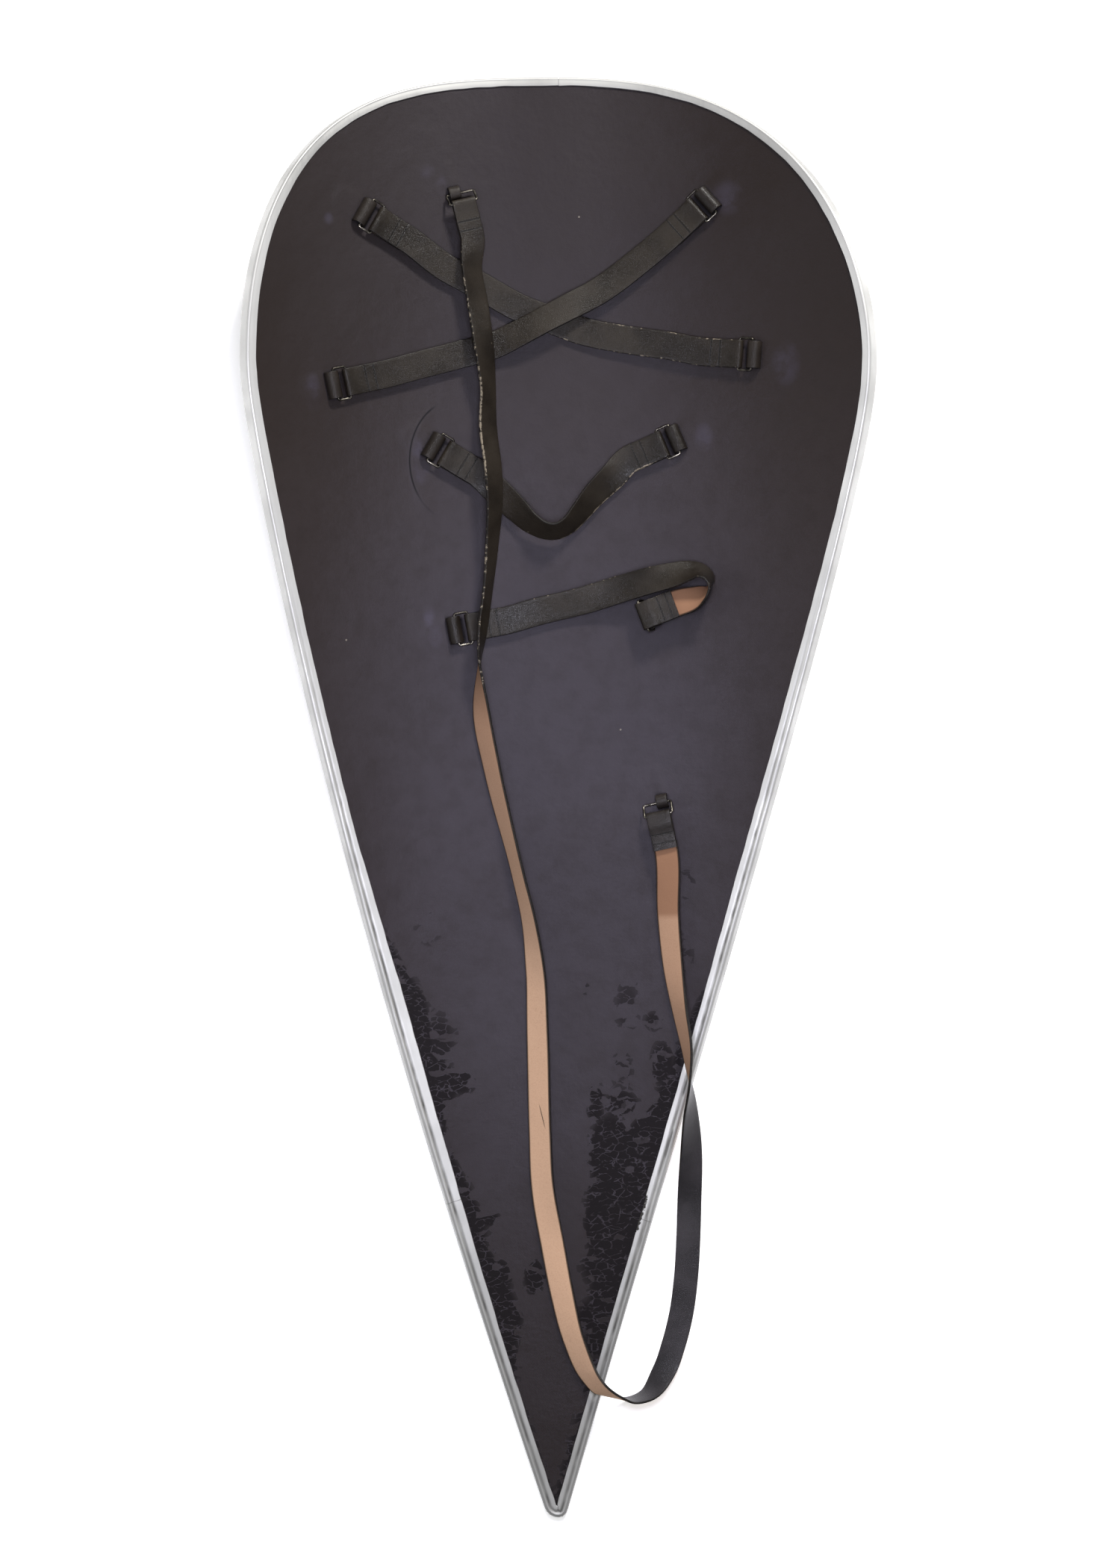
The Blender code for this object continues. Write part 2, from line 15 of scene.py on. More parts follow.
import bmesh
import bpy
import numpy as np
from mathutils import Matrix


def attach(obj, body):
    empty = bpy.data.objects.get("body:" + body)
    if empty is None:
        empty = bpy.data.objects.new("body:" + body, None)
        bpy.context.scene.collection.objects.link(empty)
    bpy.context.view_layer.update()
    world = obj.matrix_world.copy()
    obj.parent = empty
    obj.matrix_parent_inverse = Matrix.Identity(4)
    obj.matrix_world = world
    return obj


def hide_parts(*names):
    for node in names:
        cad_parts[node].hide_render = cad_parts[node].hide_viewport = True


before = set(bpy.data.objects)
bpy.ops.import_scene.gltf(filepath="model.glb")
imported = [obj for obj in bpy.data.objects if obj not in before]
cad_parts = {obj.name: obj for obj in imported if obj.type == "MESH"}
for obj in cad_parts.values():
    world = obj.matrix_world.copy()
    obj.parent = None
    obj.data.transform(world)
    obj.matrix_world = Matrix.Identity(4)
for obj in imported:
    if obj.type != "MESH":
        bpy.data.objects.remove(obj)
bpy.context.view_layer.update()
LOG = logging.getLogger("kite_shield")
Colour = tuple[float, float, float, float]
Array = np.ndarray
Piece = bpy.types.Object
Material = bpy.types.Material
Node = bpy.types.Node
NodeTree = bpy.types.NodeTree
Socket = bpy.types.NodeSocket
SHARP_ANGLE = math.radians(65)
MERGE_DISTANCE = 2e-6
HASH_STEPS = (127.1, 311.7, 74.7)
HASH_SCALE = 43758.5453
# How far the two seams across each strap's end are from its ring's bar.
SEAM_PLACES = (0.0205, 0.0285)


def screen(red: int, green: int, blue: int) -> Colour:
    """A colour given as it looks on a screen, 0 to 255, turned into the linear one that a shader takes.

    Args:
        red: the red part.
        green: the green part.
        blue: the blue part.

    Returns:
        The linear colour with full alpha.
    """
    linear = []
    for part in (red, green, blue):
        share = part / 255
        linear.append(share / 12.92 if share <= 0.04045 else ((share + 0.055) / 1.055) ** 2.4)
    return (*linear, 1.0)


def ramp(value: Array, low: float, high: float) -> Array:
    """A smooth step: 0 up to low, 1 from high, and 3s² - 2s³ of the share s between."""
    share = np.clip((value - low) / (high - low), 0, 1)
    return share * share * (3 - 2 * share)


def unit(vectors: Array) -> Array:
    """The vectors along the last axis, each divided by its length."""
    return vectors / np.maximum(np.linalg.norm(vectors, axis=-1, keepdims=True), 1e-12)


def value_noise(first: Array, second: Array, cell: float, seed: int) -> Array:
    """Soft random bumps from -1 to 1 on a plane.

    Every corner of a square grid of the cell size gets a value from a hash of its two whole numbers, and a
    place between corners takes the smooth-stepped mix of the four around it.

    Args:
        first: one coordinate of each place, in metres.
        second: the other coordinate.
        cell: the grid's spacing in metres.
        seed: which of the endless patterns.

    Returns:
        The value at each place.
    """
    a, b = np.broadcast_arrays(first / cell, second / cell)
    low_a, low_b = np.floor(a), np.floor(b)
    share_a, share_b = ramp(a - low_a, 0, 1), ramp(b - low_b, 0, 1)

    def corner(step_a: int, step_b: int) -> Array:
        """The hashed value of one corner.

        Args:
            step_a: 0 or 1 cell on in the first direction.
            step_b: the same in the second.

        Returns:
            A value from -1 to 1 at each place.
        """
        first_step, second_step, seed_step = HASH_STEPS
        turn = (low_a + step_a) * first_step + (low_b + step_b) * second_step + seed * seed_step
        mixed = np.sin(turn) * HASH_SCALE
        return 2 * (mixed - np.floor(mixed)) - 1

    near = corner(0, 0) * (1 - share_a) + corner(1, 0) * share_a
    far = corner(0, 1) * (1 - share_a) + corner(1, 1) * share_a
    return near * (1 - share_b) + far * share_b


def run_along(path: Array) -> Array:
    """How far along a path each of its points is: the running sum of the steps between them."""
    return np.concatenate([[0], np.cumsum(np.linalg.norm(np.diff(path, axis=0), axis=1))])


@dataclass(frozen=True)
class PhotoView:
    """The camera that took the photograph, straight above the shield."""

    x: float = 0.0013
    y: float = 0.0117
    height: float = 3.5
    lens: float = 92.3
    sensor: float = 36.0
    image_width: int = 1500
    image_height: int = 2100

    def build(self) -> Piece:
        """Create the camera and make it the scene's own.

        Returns:
            The camera.
        """
        data = bpy.data.cameras.new("photo_view")
        data.sensor_fit = "VERTICAL"
        data.sensor_height = self.sensor
        data.lens = self.lens
        camera = bpy.data.objects.new("photo_view", data)
        camera.location = (self.x, self.y, self.height)
        bpy.context.scene.collection.objects.link(camera)
        bpy.context.scene.camera = camera
        return camera

    def pixels(self, points: Array) -> tuple[Array, Array]:
        """Where points come in the 1500 × 2100 image.

        A pixel is the offset from the axis times lens over depth, in sensor heights, times the image height.

        Args:
            points: places in the scene, (..., 3).

        Returns:
            The pixel columns and the pixel rows.
        """
        scale = self.image_height * self.lens / self.sensor / (self.height - points[..., 2])
        column = self.image_width / 2 + (points[..., 0] - self.x) * scale
        row = self.image_height / 2 - (points[..., 1] - self.y) * scale
        return column, row


VIEW = PhotoView()


@dataclass(frozen=True)
class Flank:
    """The free shape of one side of the outline, and its rim's flange from the widest line down.

    Each pair of rim is a place in outline parts and the flange's width there.
    """

    sign: int
    across: float
    along: float
    shoulder: float
    belly: float
    reach: float
    joint_height: float
    rim: tuple[tuple[float, float], ...]


@dataclass(frozen=True)
class ShieldForm:
    """The board's bend and its sizes, shared by all that is fixed to it."""

    length: float = 1.250
    half_girth: float = 0.288
    crown_height: float = 0.250
    flat_width: float = 0.050
    bend_radius: float = 0.380
    thickness: float = 0.010
    rim_sheet: float = 0.001
    rim_corner: float = 0.0025
    rim_width_top: float = 0.0075
    fit_gap: float = 0.0003
    keeper_top: float = 0.008
    part_counts: tuple[int, int, int] = (288, 1000, 8)

    @property
    def rim_half(self) -> float:
        """Half the depth of the rim's channel."""
        return self.thickness / 2 + self.fit_gap + self.rim_sheet

    @property
    def top(self) -> float:
        """Y of the top edge."""
        return self.length / 2

    @property
    def tip(self) -> float:
        """Y of the point."""
        return -self.length / 2

    @property
    def widest(self) -> float:
        """Y of the widest line."""
        return self.top - self.crown_height

    @property
    def parts(self) -> Array:
        """The outline parts that places on the back are given in: across, along and lift."""
        return np.array([self.half_girth, self.widest - self.tip, self.keeper_top]) / self.part_counts

    def bend(self, across: Array, along: Array, depth: Array) -> Array:
        """Carry flat points onto the shield.

        The middle strip stays flat. Outside it a place turns by its distance over the radius, and lies at
        radius less depth from the cylinder's axis.

        Args:
            across: u, from the middle line.
            along: y.
            depth: from -h on the front to +h on the hollow back.

        Returns:
            World points, (..., 3).
        """
        across, along, depth = np.broadcast_arrays(across, along, depth)
        turn = np.maximum(np.abs(across) - self.flat_width / 2, 0) / self.bend_radius
        reach = np.minimum(np.abs(across), self.flat_width / 2) + (self.bend_radius - depth) * np.sin(turn)
        height = self.rim_half + self.bend_radius * (1 - np.cos(turn)) + depth * np.cos(turn)
        return np.stack([np.sign(across) * reach, along, height], axis=-1)

    def slope(self, x: Array) -> Array:
        """The board's tilt at a place on its back seen from above, signed as x is."""
        over = np.maximum(np.abs(x) - self.flat_width / 2, 0) / (self.bend_radius - self.thickness / 2)
        return np.copysign(np.arcsin(np.minimum(over, 1)), x)

    def back_height(self, x: Array) -> Array:
        """Z of the board's back at a place seen from above."""
        slope = self.slope(x)
        return self.rim_half + self.bend_radius * (1 - np.cos(slope)) + self.thickness / 2 * np.cos(slope)


FORM = ShieldForm()
RIM_WIDTH_TIP = 0.0102
LEFT_RIM = (
    (0, 0.0095), (-140, 0.0107), (-396, 0.0107), (-551, 0.0150), (-719, 0.0132), (-848, 0.0112),
    (-1000, RIM_WIDTH_TIP),
)
RIGHT_RIM = (
    (0, 0.0080), (-140, 0.0088), (-270, 0.0107), (-460, 0.0118), (-551, 0.0105), (-1000, RIM_WIDTH_TIP),
)


class HalfOutline:
    """One side of the rim's outer edge, laid flat, from the middle of the top edge to the point."""

    def __init__(self, form: ShieldForm, flank: Flank, fine: int = 500) -> None:
        """Trace the side and measure it.

        Args:
            form: the shield's sizes.
            flank: this side's free shape.
            fine: points on each of its long curves.
        """
        self.form = form
        self.flank = flank
        self.fine = fine
        self.across, self.along = self.trace()
        steps = np.hypot(np.diff(self.across), np.diff(self.along))
        self.run = np.concatenate([[0], np.cumsum(steps)])
        slope_u = np.gradient(self.across, self.run)
        slope_y = np.gradient(self.along, self.run)
        size = np.hypot(slope_u, slope_y)
        self.inward_u = slope_y / size
        self.inward_y = -slope_u / size
        joint_y = form.tip + flank.joint_height
        self.joint = float(np.interp(-joint_y, -self.along, self.run))
        parts, widths = zip(*flank.rim)
        heights = form.widest + np.array(parts) * form.parts[1]
        self.rim_places = [0, *np.interp(-heights, -self.along, self.run)]
        self.rim_widths = [form.rim_width_top, *widths]

    def trace(self) -> tuple[Array, Array]:
        """A superellipse down to the widest line, a nearly straight flank, and a round nose.

        Returns:
            How far the edge reaches from the middle line, and its y, from the top to the point.
        """
        form, flank = self.form, self.flank
        turn = np.linspace(0, math.pi / 2, self.fine)
        crown_u = form.half_girth * np.sin(turn) ** (2 / flank.across)
        crown_y = form.widest + form.crown_height * np.cos(turn) ** (2 / flank.along)
        share = np.linspace(0, 1, self.fine)[1:]
        easing = np.sqrt(share**2 + flank.shoulder**2) - flank.shoulder
        closing = easing / (math.sqrt(1 + flank.shoulder**2) - flank.shoulder)
        flank_u = form.half_girth * (1 - closing + flank.belly * closing * (1 - closing))
        flank_y = form.widest - share * (form.widest - form.tip + flank.reach)
        slant = math.atan2(flank_u[-2] - flank_u[-1], flank_y[-2] - flank_y[-1])
        nose = flank.reach * math.sin(slant) / (1 - math.sin(slant))
        kept = flank_y > form.tip + nose * (1 - math.sin(slant))
        swing = np.linspace(slant, math.pi / 2, self.fine // 10)
        nose_u = nose * np.cos(swing)
        nose_y = form.tip + nose * (1 - np.sin(swing))
        nose_u[-1] = 0
        across = np.concatenate([crown_u, flank_u[kept], nose_u])
        along = np.concatenate([crown_y, flank_y[kept], nose_y])
        return across, along

    def rim_width(self, at: Array) -> Array:
        """The flange's width, from the top edge down through the flank's own widths."""
        return np.interp(at, self.rim_places, self.rim_widths)

    def middle_crossing(self, inset: float) -> float:
        """Y at which the line this far inside the edge meets the middle line, near the point.

        Args:
            inset: how far inside the edge.

        Returns:
            The y in metres.
        """
        across = self.across + self.inward_u * inset
        along = self.along + self.inward_y * inset
        low = np.flatnonzero((across <= 0) & (along < 0))
        return float(along[low[0]]) if len(low) else self.form.tip + inset


@dataclass
class Outline:
    """Both sides of the rim's outer edge."""

    form: ShieldForm = FORM
    left: HalfOutline = field(init=False)
    right: HalfOutline = field(init=False)

    def __post_init__(self) -> None:
        """Trace the two sides."""
        self.left = HalfOutline(self.form, Flank(-1, 3.0, 2.07, 0.037, 0.18, 0.0267, 0.273, LEFT_RIM))
        self.right = HalfOutline(self.form, Flank(1, 2.41, 1.79, 0.058, -0.03, 0.0207, 0.257, RIGHT_RIM))

    def nose_level(self, inset: float) -> float:
        """Y at which the line this far inside both edges crosses the middle line."""
        return (self.left.middle_crossing(inset) + self.right.middle_crossing(inset)) / 2

    def inside(self, half: HalfOutline, at: Array, inset: Array) -> tuple[Array, Array]:
        """Flat points this far inside the edge, held at the middle line where the two sides meet.

        Args:
            half: the side.
            at: how far round from the top, in metres.
            inset: how far inside, for each place.

        Returns:
            u, signed by the side, and y.
        """
        across = np.interp(at, half.run, half.across) + np.interp(at, half.run, half.inward_u) * inset
        along = np.interp(at, half.run, half.along) + np.interp(at, half.run, half.inward_y) * inset
        met = (along < 0) & (across <= self.form.fit_gap / 10)
        across = np.where(met, 0, np.maximum(across, 0))
        along = np.where(met, self.nose_level(float(np.max(inset))), along)
        return half.flank.sign * across, along

    def reach(self, half: HalfOutline, along: Array, inset: float) -> Array:
        """How far the line this far inside the edge reaches from the middle line at each y.

        Args:
            half: the side.
            along: each y.
            inset: how far inside the edge.

        Returns:
            The distance at each y.
        """
        across, level = self.inside(half, half.run, np.full(half.run.shape, inset))
        order = np.argsort(level)
        return np.interp(along, level[order], np.abs(across)[order])


OUTLINE = Outline()


def make_object(
    name: str, points: Array, faces: list, material: Material, values: dict[str, Array] | None = None
) -> Piece:
    """A closed mesh object with its faces outwards, smooth shaded.

    Args:
        name: the piece's name.
        points: vertices, (n, 3).
        faces: vertex numbers of each face.
        material: the only material.
        values: named numbers for each vertex, which the material reads.

    Returns:
        The new object, at the origin.
    """
    mesh = bpy.data.meshes.new(name)
    mesh.from_pydata(points.reshape(-1, 3).tolist(), [], faces)
    for key, numbers in (values or {}).items():
        layer = mesh.attributes.new(key, "FLOAT", "POINT")
        layer.data.foreach_set("value", np.asarray(numbers, np.float32).ravel())
    shape = bmesh.new()
    shape.from_mesh(mesh)
    bmesh.ops.remove_doubles(shape, verts=shape.verts, dist=MERGE_DISTANCE)
    bmesh.ops.recalc_face_normals(shape, faces=shape.faces)
    shape.to_mesh(mesh)
    shape.free()
    mesh.shade_smooth()
    mesh.set_sharp_from_angle(angle=SHARP_ANGLE)
    mesh.materials.append(material)
    obj = bpy.data.objects.new(name, mesh)
    bpy.context.scene.collection.objects.link(obj)
    return obj


def grid_faces(rows: int, columns: int, start: int = 0, closed: bool = False, looped: bool = False) -> list:
    """Quads of a grid of vertices numbered row by row.

    Args:
        rows: rows of vertices.
        columns: vertices in a row.
        start: the first vertex's number.
        closed: whether each row's end joins its own start.
        looped: whether the last row joins the first.

    Returns:
        The quads as lists of four numbers.
    """
    row = np.arange(rows if looped else rows - 1)[:, None]
    column = np.arange(columns if closed else columns - 1)[None, :]
    after = (column + 1) % columns
    below = (row + 1) % rows
    corners = (
        row * columns + column,
        row * columns + after,
        below * columns + after,
        below * columns + column,
    )
    quads = np.stack([np.broadcast_to(corner, (len(row), column.shape[1])) for corner in corners], axis=-1)
    return (quads.reshape(-1, 4) + start).tolist()


def capped_faces(rows: int, columns: int) -> list:
    """The faces of a closed section carried along a path: a closed grid with a cap on each end.

    Args:
        rows: rows of vertices.
        columns: vertices in a row.

    Returns:
        The quads and the two caps.
    """
    faces = grid_faces(rows, columns, closed=True)
    faces.append(list(range(columns)))
    faces.append(list(range((rows - 1) * columns, rows * columns)))
    return faces


class Finish(Enum):
    """The finishes that pieces may have, with the record's slot of each."""

    FACING = "facing"
    RIM = "rim_steel"
    WIRE = "ring_steel"
    KEEPER = "keeper_leather"
    STRAP = "strap_leather"


class Graph:
    """A shader tree that is written one node a call."""

    def __init__(self, tree: NodeTree) -> None:
        """Take the tree that the nodes go into."""
        self.tree = tree

    def add(self, kind: str, inputs: dict | None = None, **settings: object) -> Node:
        """Add a node.

        Args:
            kind: the node's type, without its common start.
            inputs: a value or another node's socket for each named or numbered input.
            settings: the node's own properties.

        Returns:
            The node.
        """
        node = self.tree.nodes.new("ShaderNode" + kind)
        for key, value in settings.items():
            setattr(node, key, value)
        for key, value in (inputs or {}).items():
            if isinstance(value, Socket):
                self.tree.links.new(value, node.inputs[key])
            else:
                node.inputs[key].default_value = value
        return node

    def maths(self, operation: str, *terms: object, clamp: bool = False) -> Socket:
        """The result of one Math node on its terms."""
        node = self.add("Math", dict(enumerate(terms)), operation=operation, use_clamp=clamp)
        return node.outputs[0]

    def mix(self, share: object, first: object, second: object) -> Socket:
        """A colour between two colours."""
        return self.add("Mix", {0: share, 6: first, 7: second}, data_type="RGBA").outputs[2]

    def between(self, share: object, first: object, second: object) -> Socket:
        """A number between two numbers."""
        return self.add("Mix", {0: share, 2: first, 3: second}, data_type="FLOAT").outputs[0]

    def remap(self, value: object, low: float, high: float, to: tuple = (0.0, 1.0)) -> Socket:
        """The value carried smoothly from one range to another."""
        inputs = {"Value": value, "From Min": low, "From Max": high, "To Min": to[0], "To Max": to[1]}
        return self.add("MapRange", inputs, interpolation_type="SMOOTHSTEP").outputs["Result"]

    def noise(self, vector: object, scale: object, detail: float = 3.0, rough: float = 0.55) -> Socket:
        """A noise from 0 to 1."""
        inputs = {"Vector": vector, "Scale": scale, "Detail": detail, "Roughness": rough}
        return self.add("TexNoise", inputs).outputs["Fac"]

    def stretched(self, vector: object, scale: tuple) -> Socket:
        """The vector multiplied by another."""
        return self.add("VectorMath", {0: vector, 1: scale}, operation="MULTIPLY").outputs[0]

    def attribute(self, name: str) -> Socket:
        """A number that the mesh carries at each vertex."""
        return self.add("Attribute", attribute_name=name).outputs["Fac"]

    def split(self, vector: object) -> tuple[Socket, ...]:
        """The X, Y and Z of a vector."""
        return tuple(self.add("SeparateXYZ", {0: vector}).outputs)

    def effect(self, group: NodeTree, place: object, **values: object) -> Node:
        """Put in a shared effect, with the coordinates that it reads and its other inputs by name."""
        return self.add("Group", {"Vector": place, **values}, node_tree=group)

    def bumps(self, *layers: tuple[Socket, float, float]) -> Socket:
        """A normal that is bumped by one layer on another.

        Args:
            layers: each layer's height, strength and distance in metres.

        Returns:
            The last layer's normal.
        """
        normal = {}
        for height, strength, distance in layers:
            inputs = {"Height": height, "Strength": strength, "Distance": distance, **normal}
            normal = {"Normal": self.add("Bump", inputs).outputs[0]}
        return normal["Normal"]

    def feed(self, node: Node, sockets: dict[str, Socket]) -> None:
        """Link sockets to a node's inputs by name."""
        for key, socket in sockets.items():
            self.tree.links.new(socket, node.inputs[key])


class Effects:
    """The effects that more than one material uses, each built once as a node group."""

    def __init__(self) -> None:
        """Build every group."""
        self.weave = self.make_weave()
        self.grain = self.make_grain()
        self.clouds = self.make_clouds()
        self.specks = self.make_specks()
        self.edge_wear = self.make_edge_wear()

    @staticmethod
    def start(name: str, takes: dict[str, float], gives: tuple[str, ...]) -> tuple[Graph, dict, Node]:
        """Begin a group.

        Args:
            name: the group's name.
            takes: number inputs with their usual values; Vector comes before them.
            gives: number outputs.

        Returns:
            The graph, its input sockets by name and the output node.
        """
        tree = bpy.data.node_groups.new(name, "ShaderNodeTree")
        tree.interface.new_socket(name="Vector", in_out="INPUT", socket_type="NodeSocketVector")
        for key, value in takes.items():
            socket = tree.interface.new_socket(name=key, in_out="INPUT", socket_type="NodeSocketFloat")
            socket.default_value = value
        for key in gives:
            tree.interface.new_socket(name=key, in_out="OUTPUT", socket_type="NodeSocketFloat")
        source = tree.nodes.new("NodeGroupInput")
        sink = tree.nodes.new("NodeGroupOutput")
        return Graph(tree), {socket.name: socket for socket in source.outputs}, sink

    def make_weave(self) -> NodeTree:
        """Threads over and under: the product of two sine waves, broken by a noise.

        Returns:
            The group.
        """
        graph, source, sink = self.start("cloth_weave", {"Threads": 900.0, "Breakup": 0.35}, ("Height",))
        across, along, _ = graph.split(source["Vector"])
        turn = graph.maths("MULTIPLY", source["Threads"], 2 * math.pi)
        warp = graph.maths("SINE", graph.maths("MULTIPLY", across, turn))
        weft = graph.maths("SINE", graph.maths("MULTIPLY", along, turn))
        crossing = graph.maths("MULTIPLY", warp, weft)
        broken = graph.noise(source["Vector"], graph.maths("MULTIPLY", source["Threads"], 0.6), 2.0)
        height = graph.between(source["Breakup"], graph.maths("MULTIPLY_ADD", crossing, 0.5, 0.5), broken)
        graph.feed(sink, {"Height": height})
        return graph.tree

    def make_grain(self) -> NodeTree:
        """Leather's pebbled grain: the walls of small cells, softened by finer noise, and open pores.

        Returns:
            The group.
        """
        takes = {"Scale": 900.0, "Creases": 0.3}
        graph, source, sink = self.start("leather_grain", takes, ("Height", "Pores"))
        warp = graph.noise(source["Vector"], graph.maths("MULTIPLY", source["Scale"], 0.4), 2.0)
        shift = graph.maths("MULTIPLY", warp, 0.0012)
        place = graph.add("VectorMath", {0: source["Vector"], 1: shift}, operation="ADD").outputs[0]
        settings = {"Vector": place, "Scale": source["Scale"]}
        cells = graph.add("TexVoronoi", settings, feature="DISTANCE_TO_EDGE").outputs["Distance"]
        pebble = graph.remap(cells, 0.0, 0.25)
        long_lines = graph.noise(source["Vector"], graph.maths("MULTIPLY", source["Scale"], 0.12), 4.0)
        height = graph.between(source["Creases"], pebble, long_lines)
        pores = graph.noise(source["Vector"], graph.maths("MULTIPLY", source["Scale"], 1.7), 1.0)
        graph.feed(sink, {"Height": height, "Pores": graph.remap(pores, 0.62, 0.74)})
        return graph.tree

    def make_clouds(self) -> NodeTree:
        """Broad soft patches: a low noise with its middle range stretched.

        Returns:
            The group.
        """
        graph, source, sink = self.start("clouds", {"Scale": 6.0, "Detail": 4.0}, ("Value",))
        soft = graph.add("TexNoise", {key: source[key] for key in ("Vector", "Scale", "Detail")})
        graph.feed(sink, {"Value": graph.remap(soft.outputs["Fac"], 0.3, 0.7)})
        return graph.tree

    def make_specks(self) -> NodeTree:
        """Rare small spots: the hearts of scattered cells, kept where the cell's own colour is high.

        Returns:
            The group.
        """
        graph, source, sink = self.start("specks", {"Scale": 60.0, "Size": 0.06, "Share": 0.9}, ("Mask",))
        cells = graph.add("TexVoronoi", {"Vector": source["Vector"], "Scale": source["Scale"]})
        near = graph.maths("LESS_THAN", cells.outputs["Distance"], source["Size"])
        lot = graph.add("SeparateColor", {0: cells.outputs["Color"]}).outputs[0]
        kept = graph.maths("GREATER_THAN", lot, source["Share"])
        graph.feed(sink, {"Mask": graph.maths("MULTIPLY", near, kept)})
        return graph.tree

    def make_edge_wear(self) -> NodeTree:
        """Rubbed patches along an edge: where edge closeness and a coarse noise together pass a limit.

        Returns:
            The group.
        """
        graph, source, sink = self.start("edge_wear", {"Edge": 0.0, "Scale": 120.0, "Amount": 0.5}, ("Mask",))
        rough = graph.noise(source["Vector"], source["Scale"], 5.0, 0.65)
        worn = graph.maths("MULTIPLY", source["Edge"], rough)
        limit = graph.maths("SUBTRACT", 0.75, graph.maths("MULTIPLY", source["Amount"], 0.4))
        over = graph.maths("SUBTRACT", worn, limit)
        graph.feed(sink, {"Mask": graph.remap(over, 0.0, 0.06)})
        return graph.tree


def start_material(name: str, constants: dict) -> tuple[Material, Graph, Node, Socket]:
    """A material with a Principled shader.

    Args:
        name: the material's name.
        constants: values that are the same all over, set on the shader's own sockets.

    Returns:
        The material, its graph, its shader and the Object coordinates.
    """
    material = bpy.data.materials.new(name)
    material.use_nodes = True
    graph = Graph(material.node_tree)
    shader = material.node_tree.nodes["Principled BSDF"]
    for key, value in constants.items():
        shader.inputs[key].default_value = value
    place = graph.add("TexCoord").outputs["Object"]
    return material, graph, shader, place


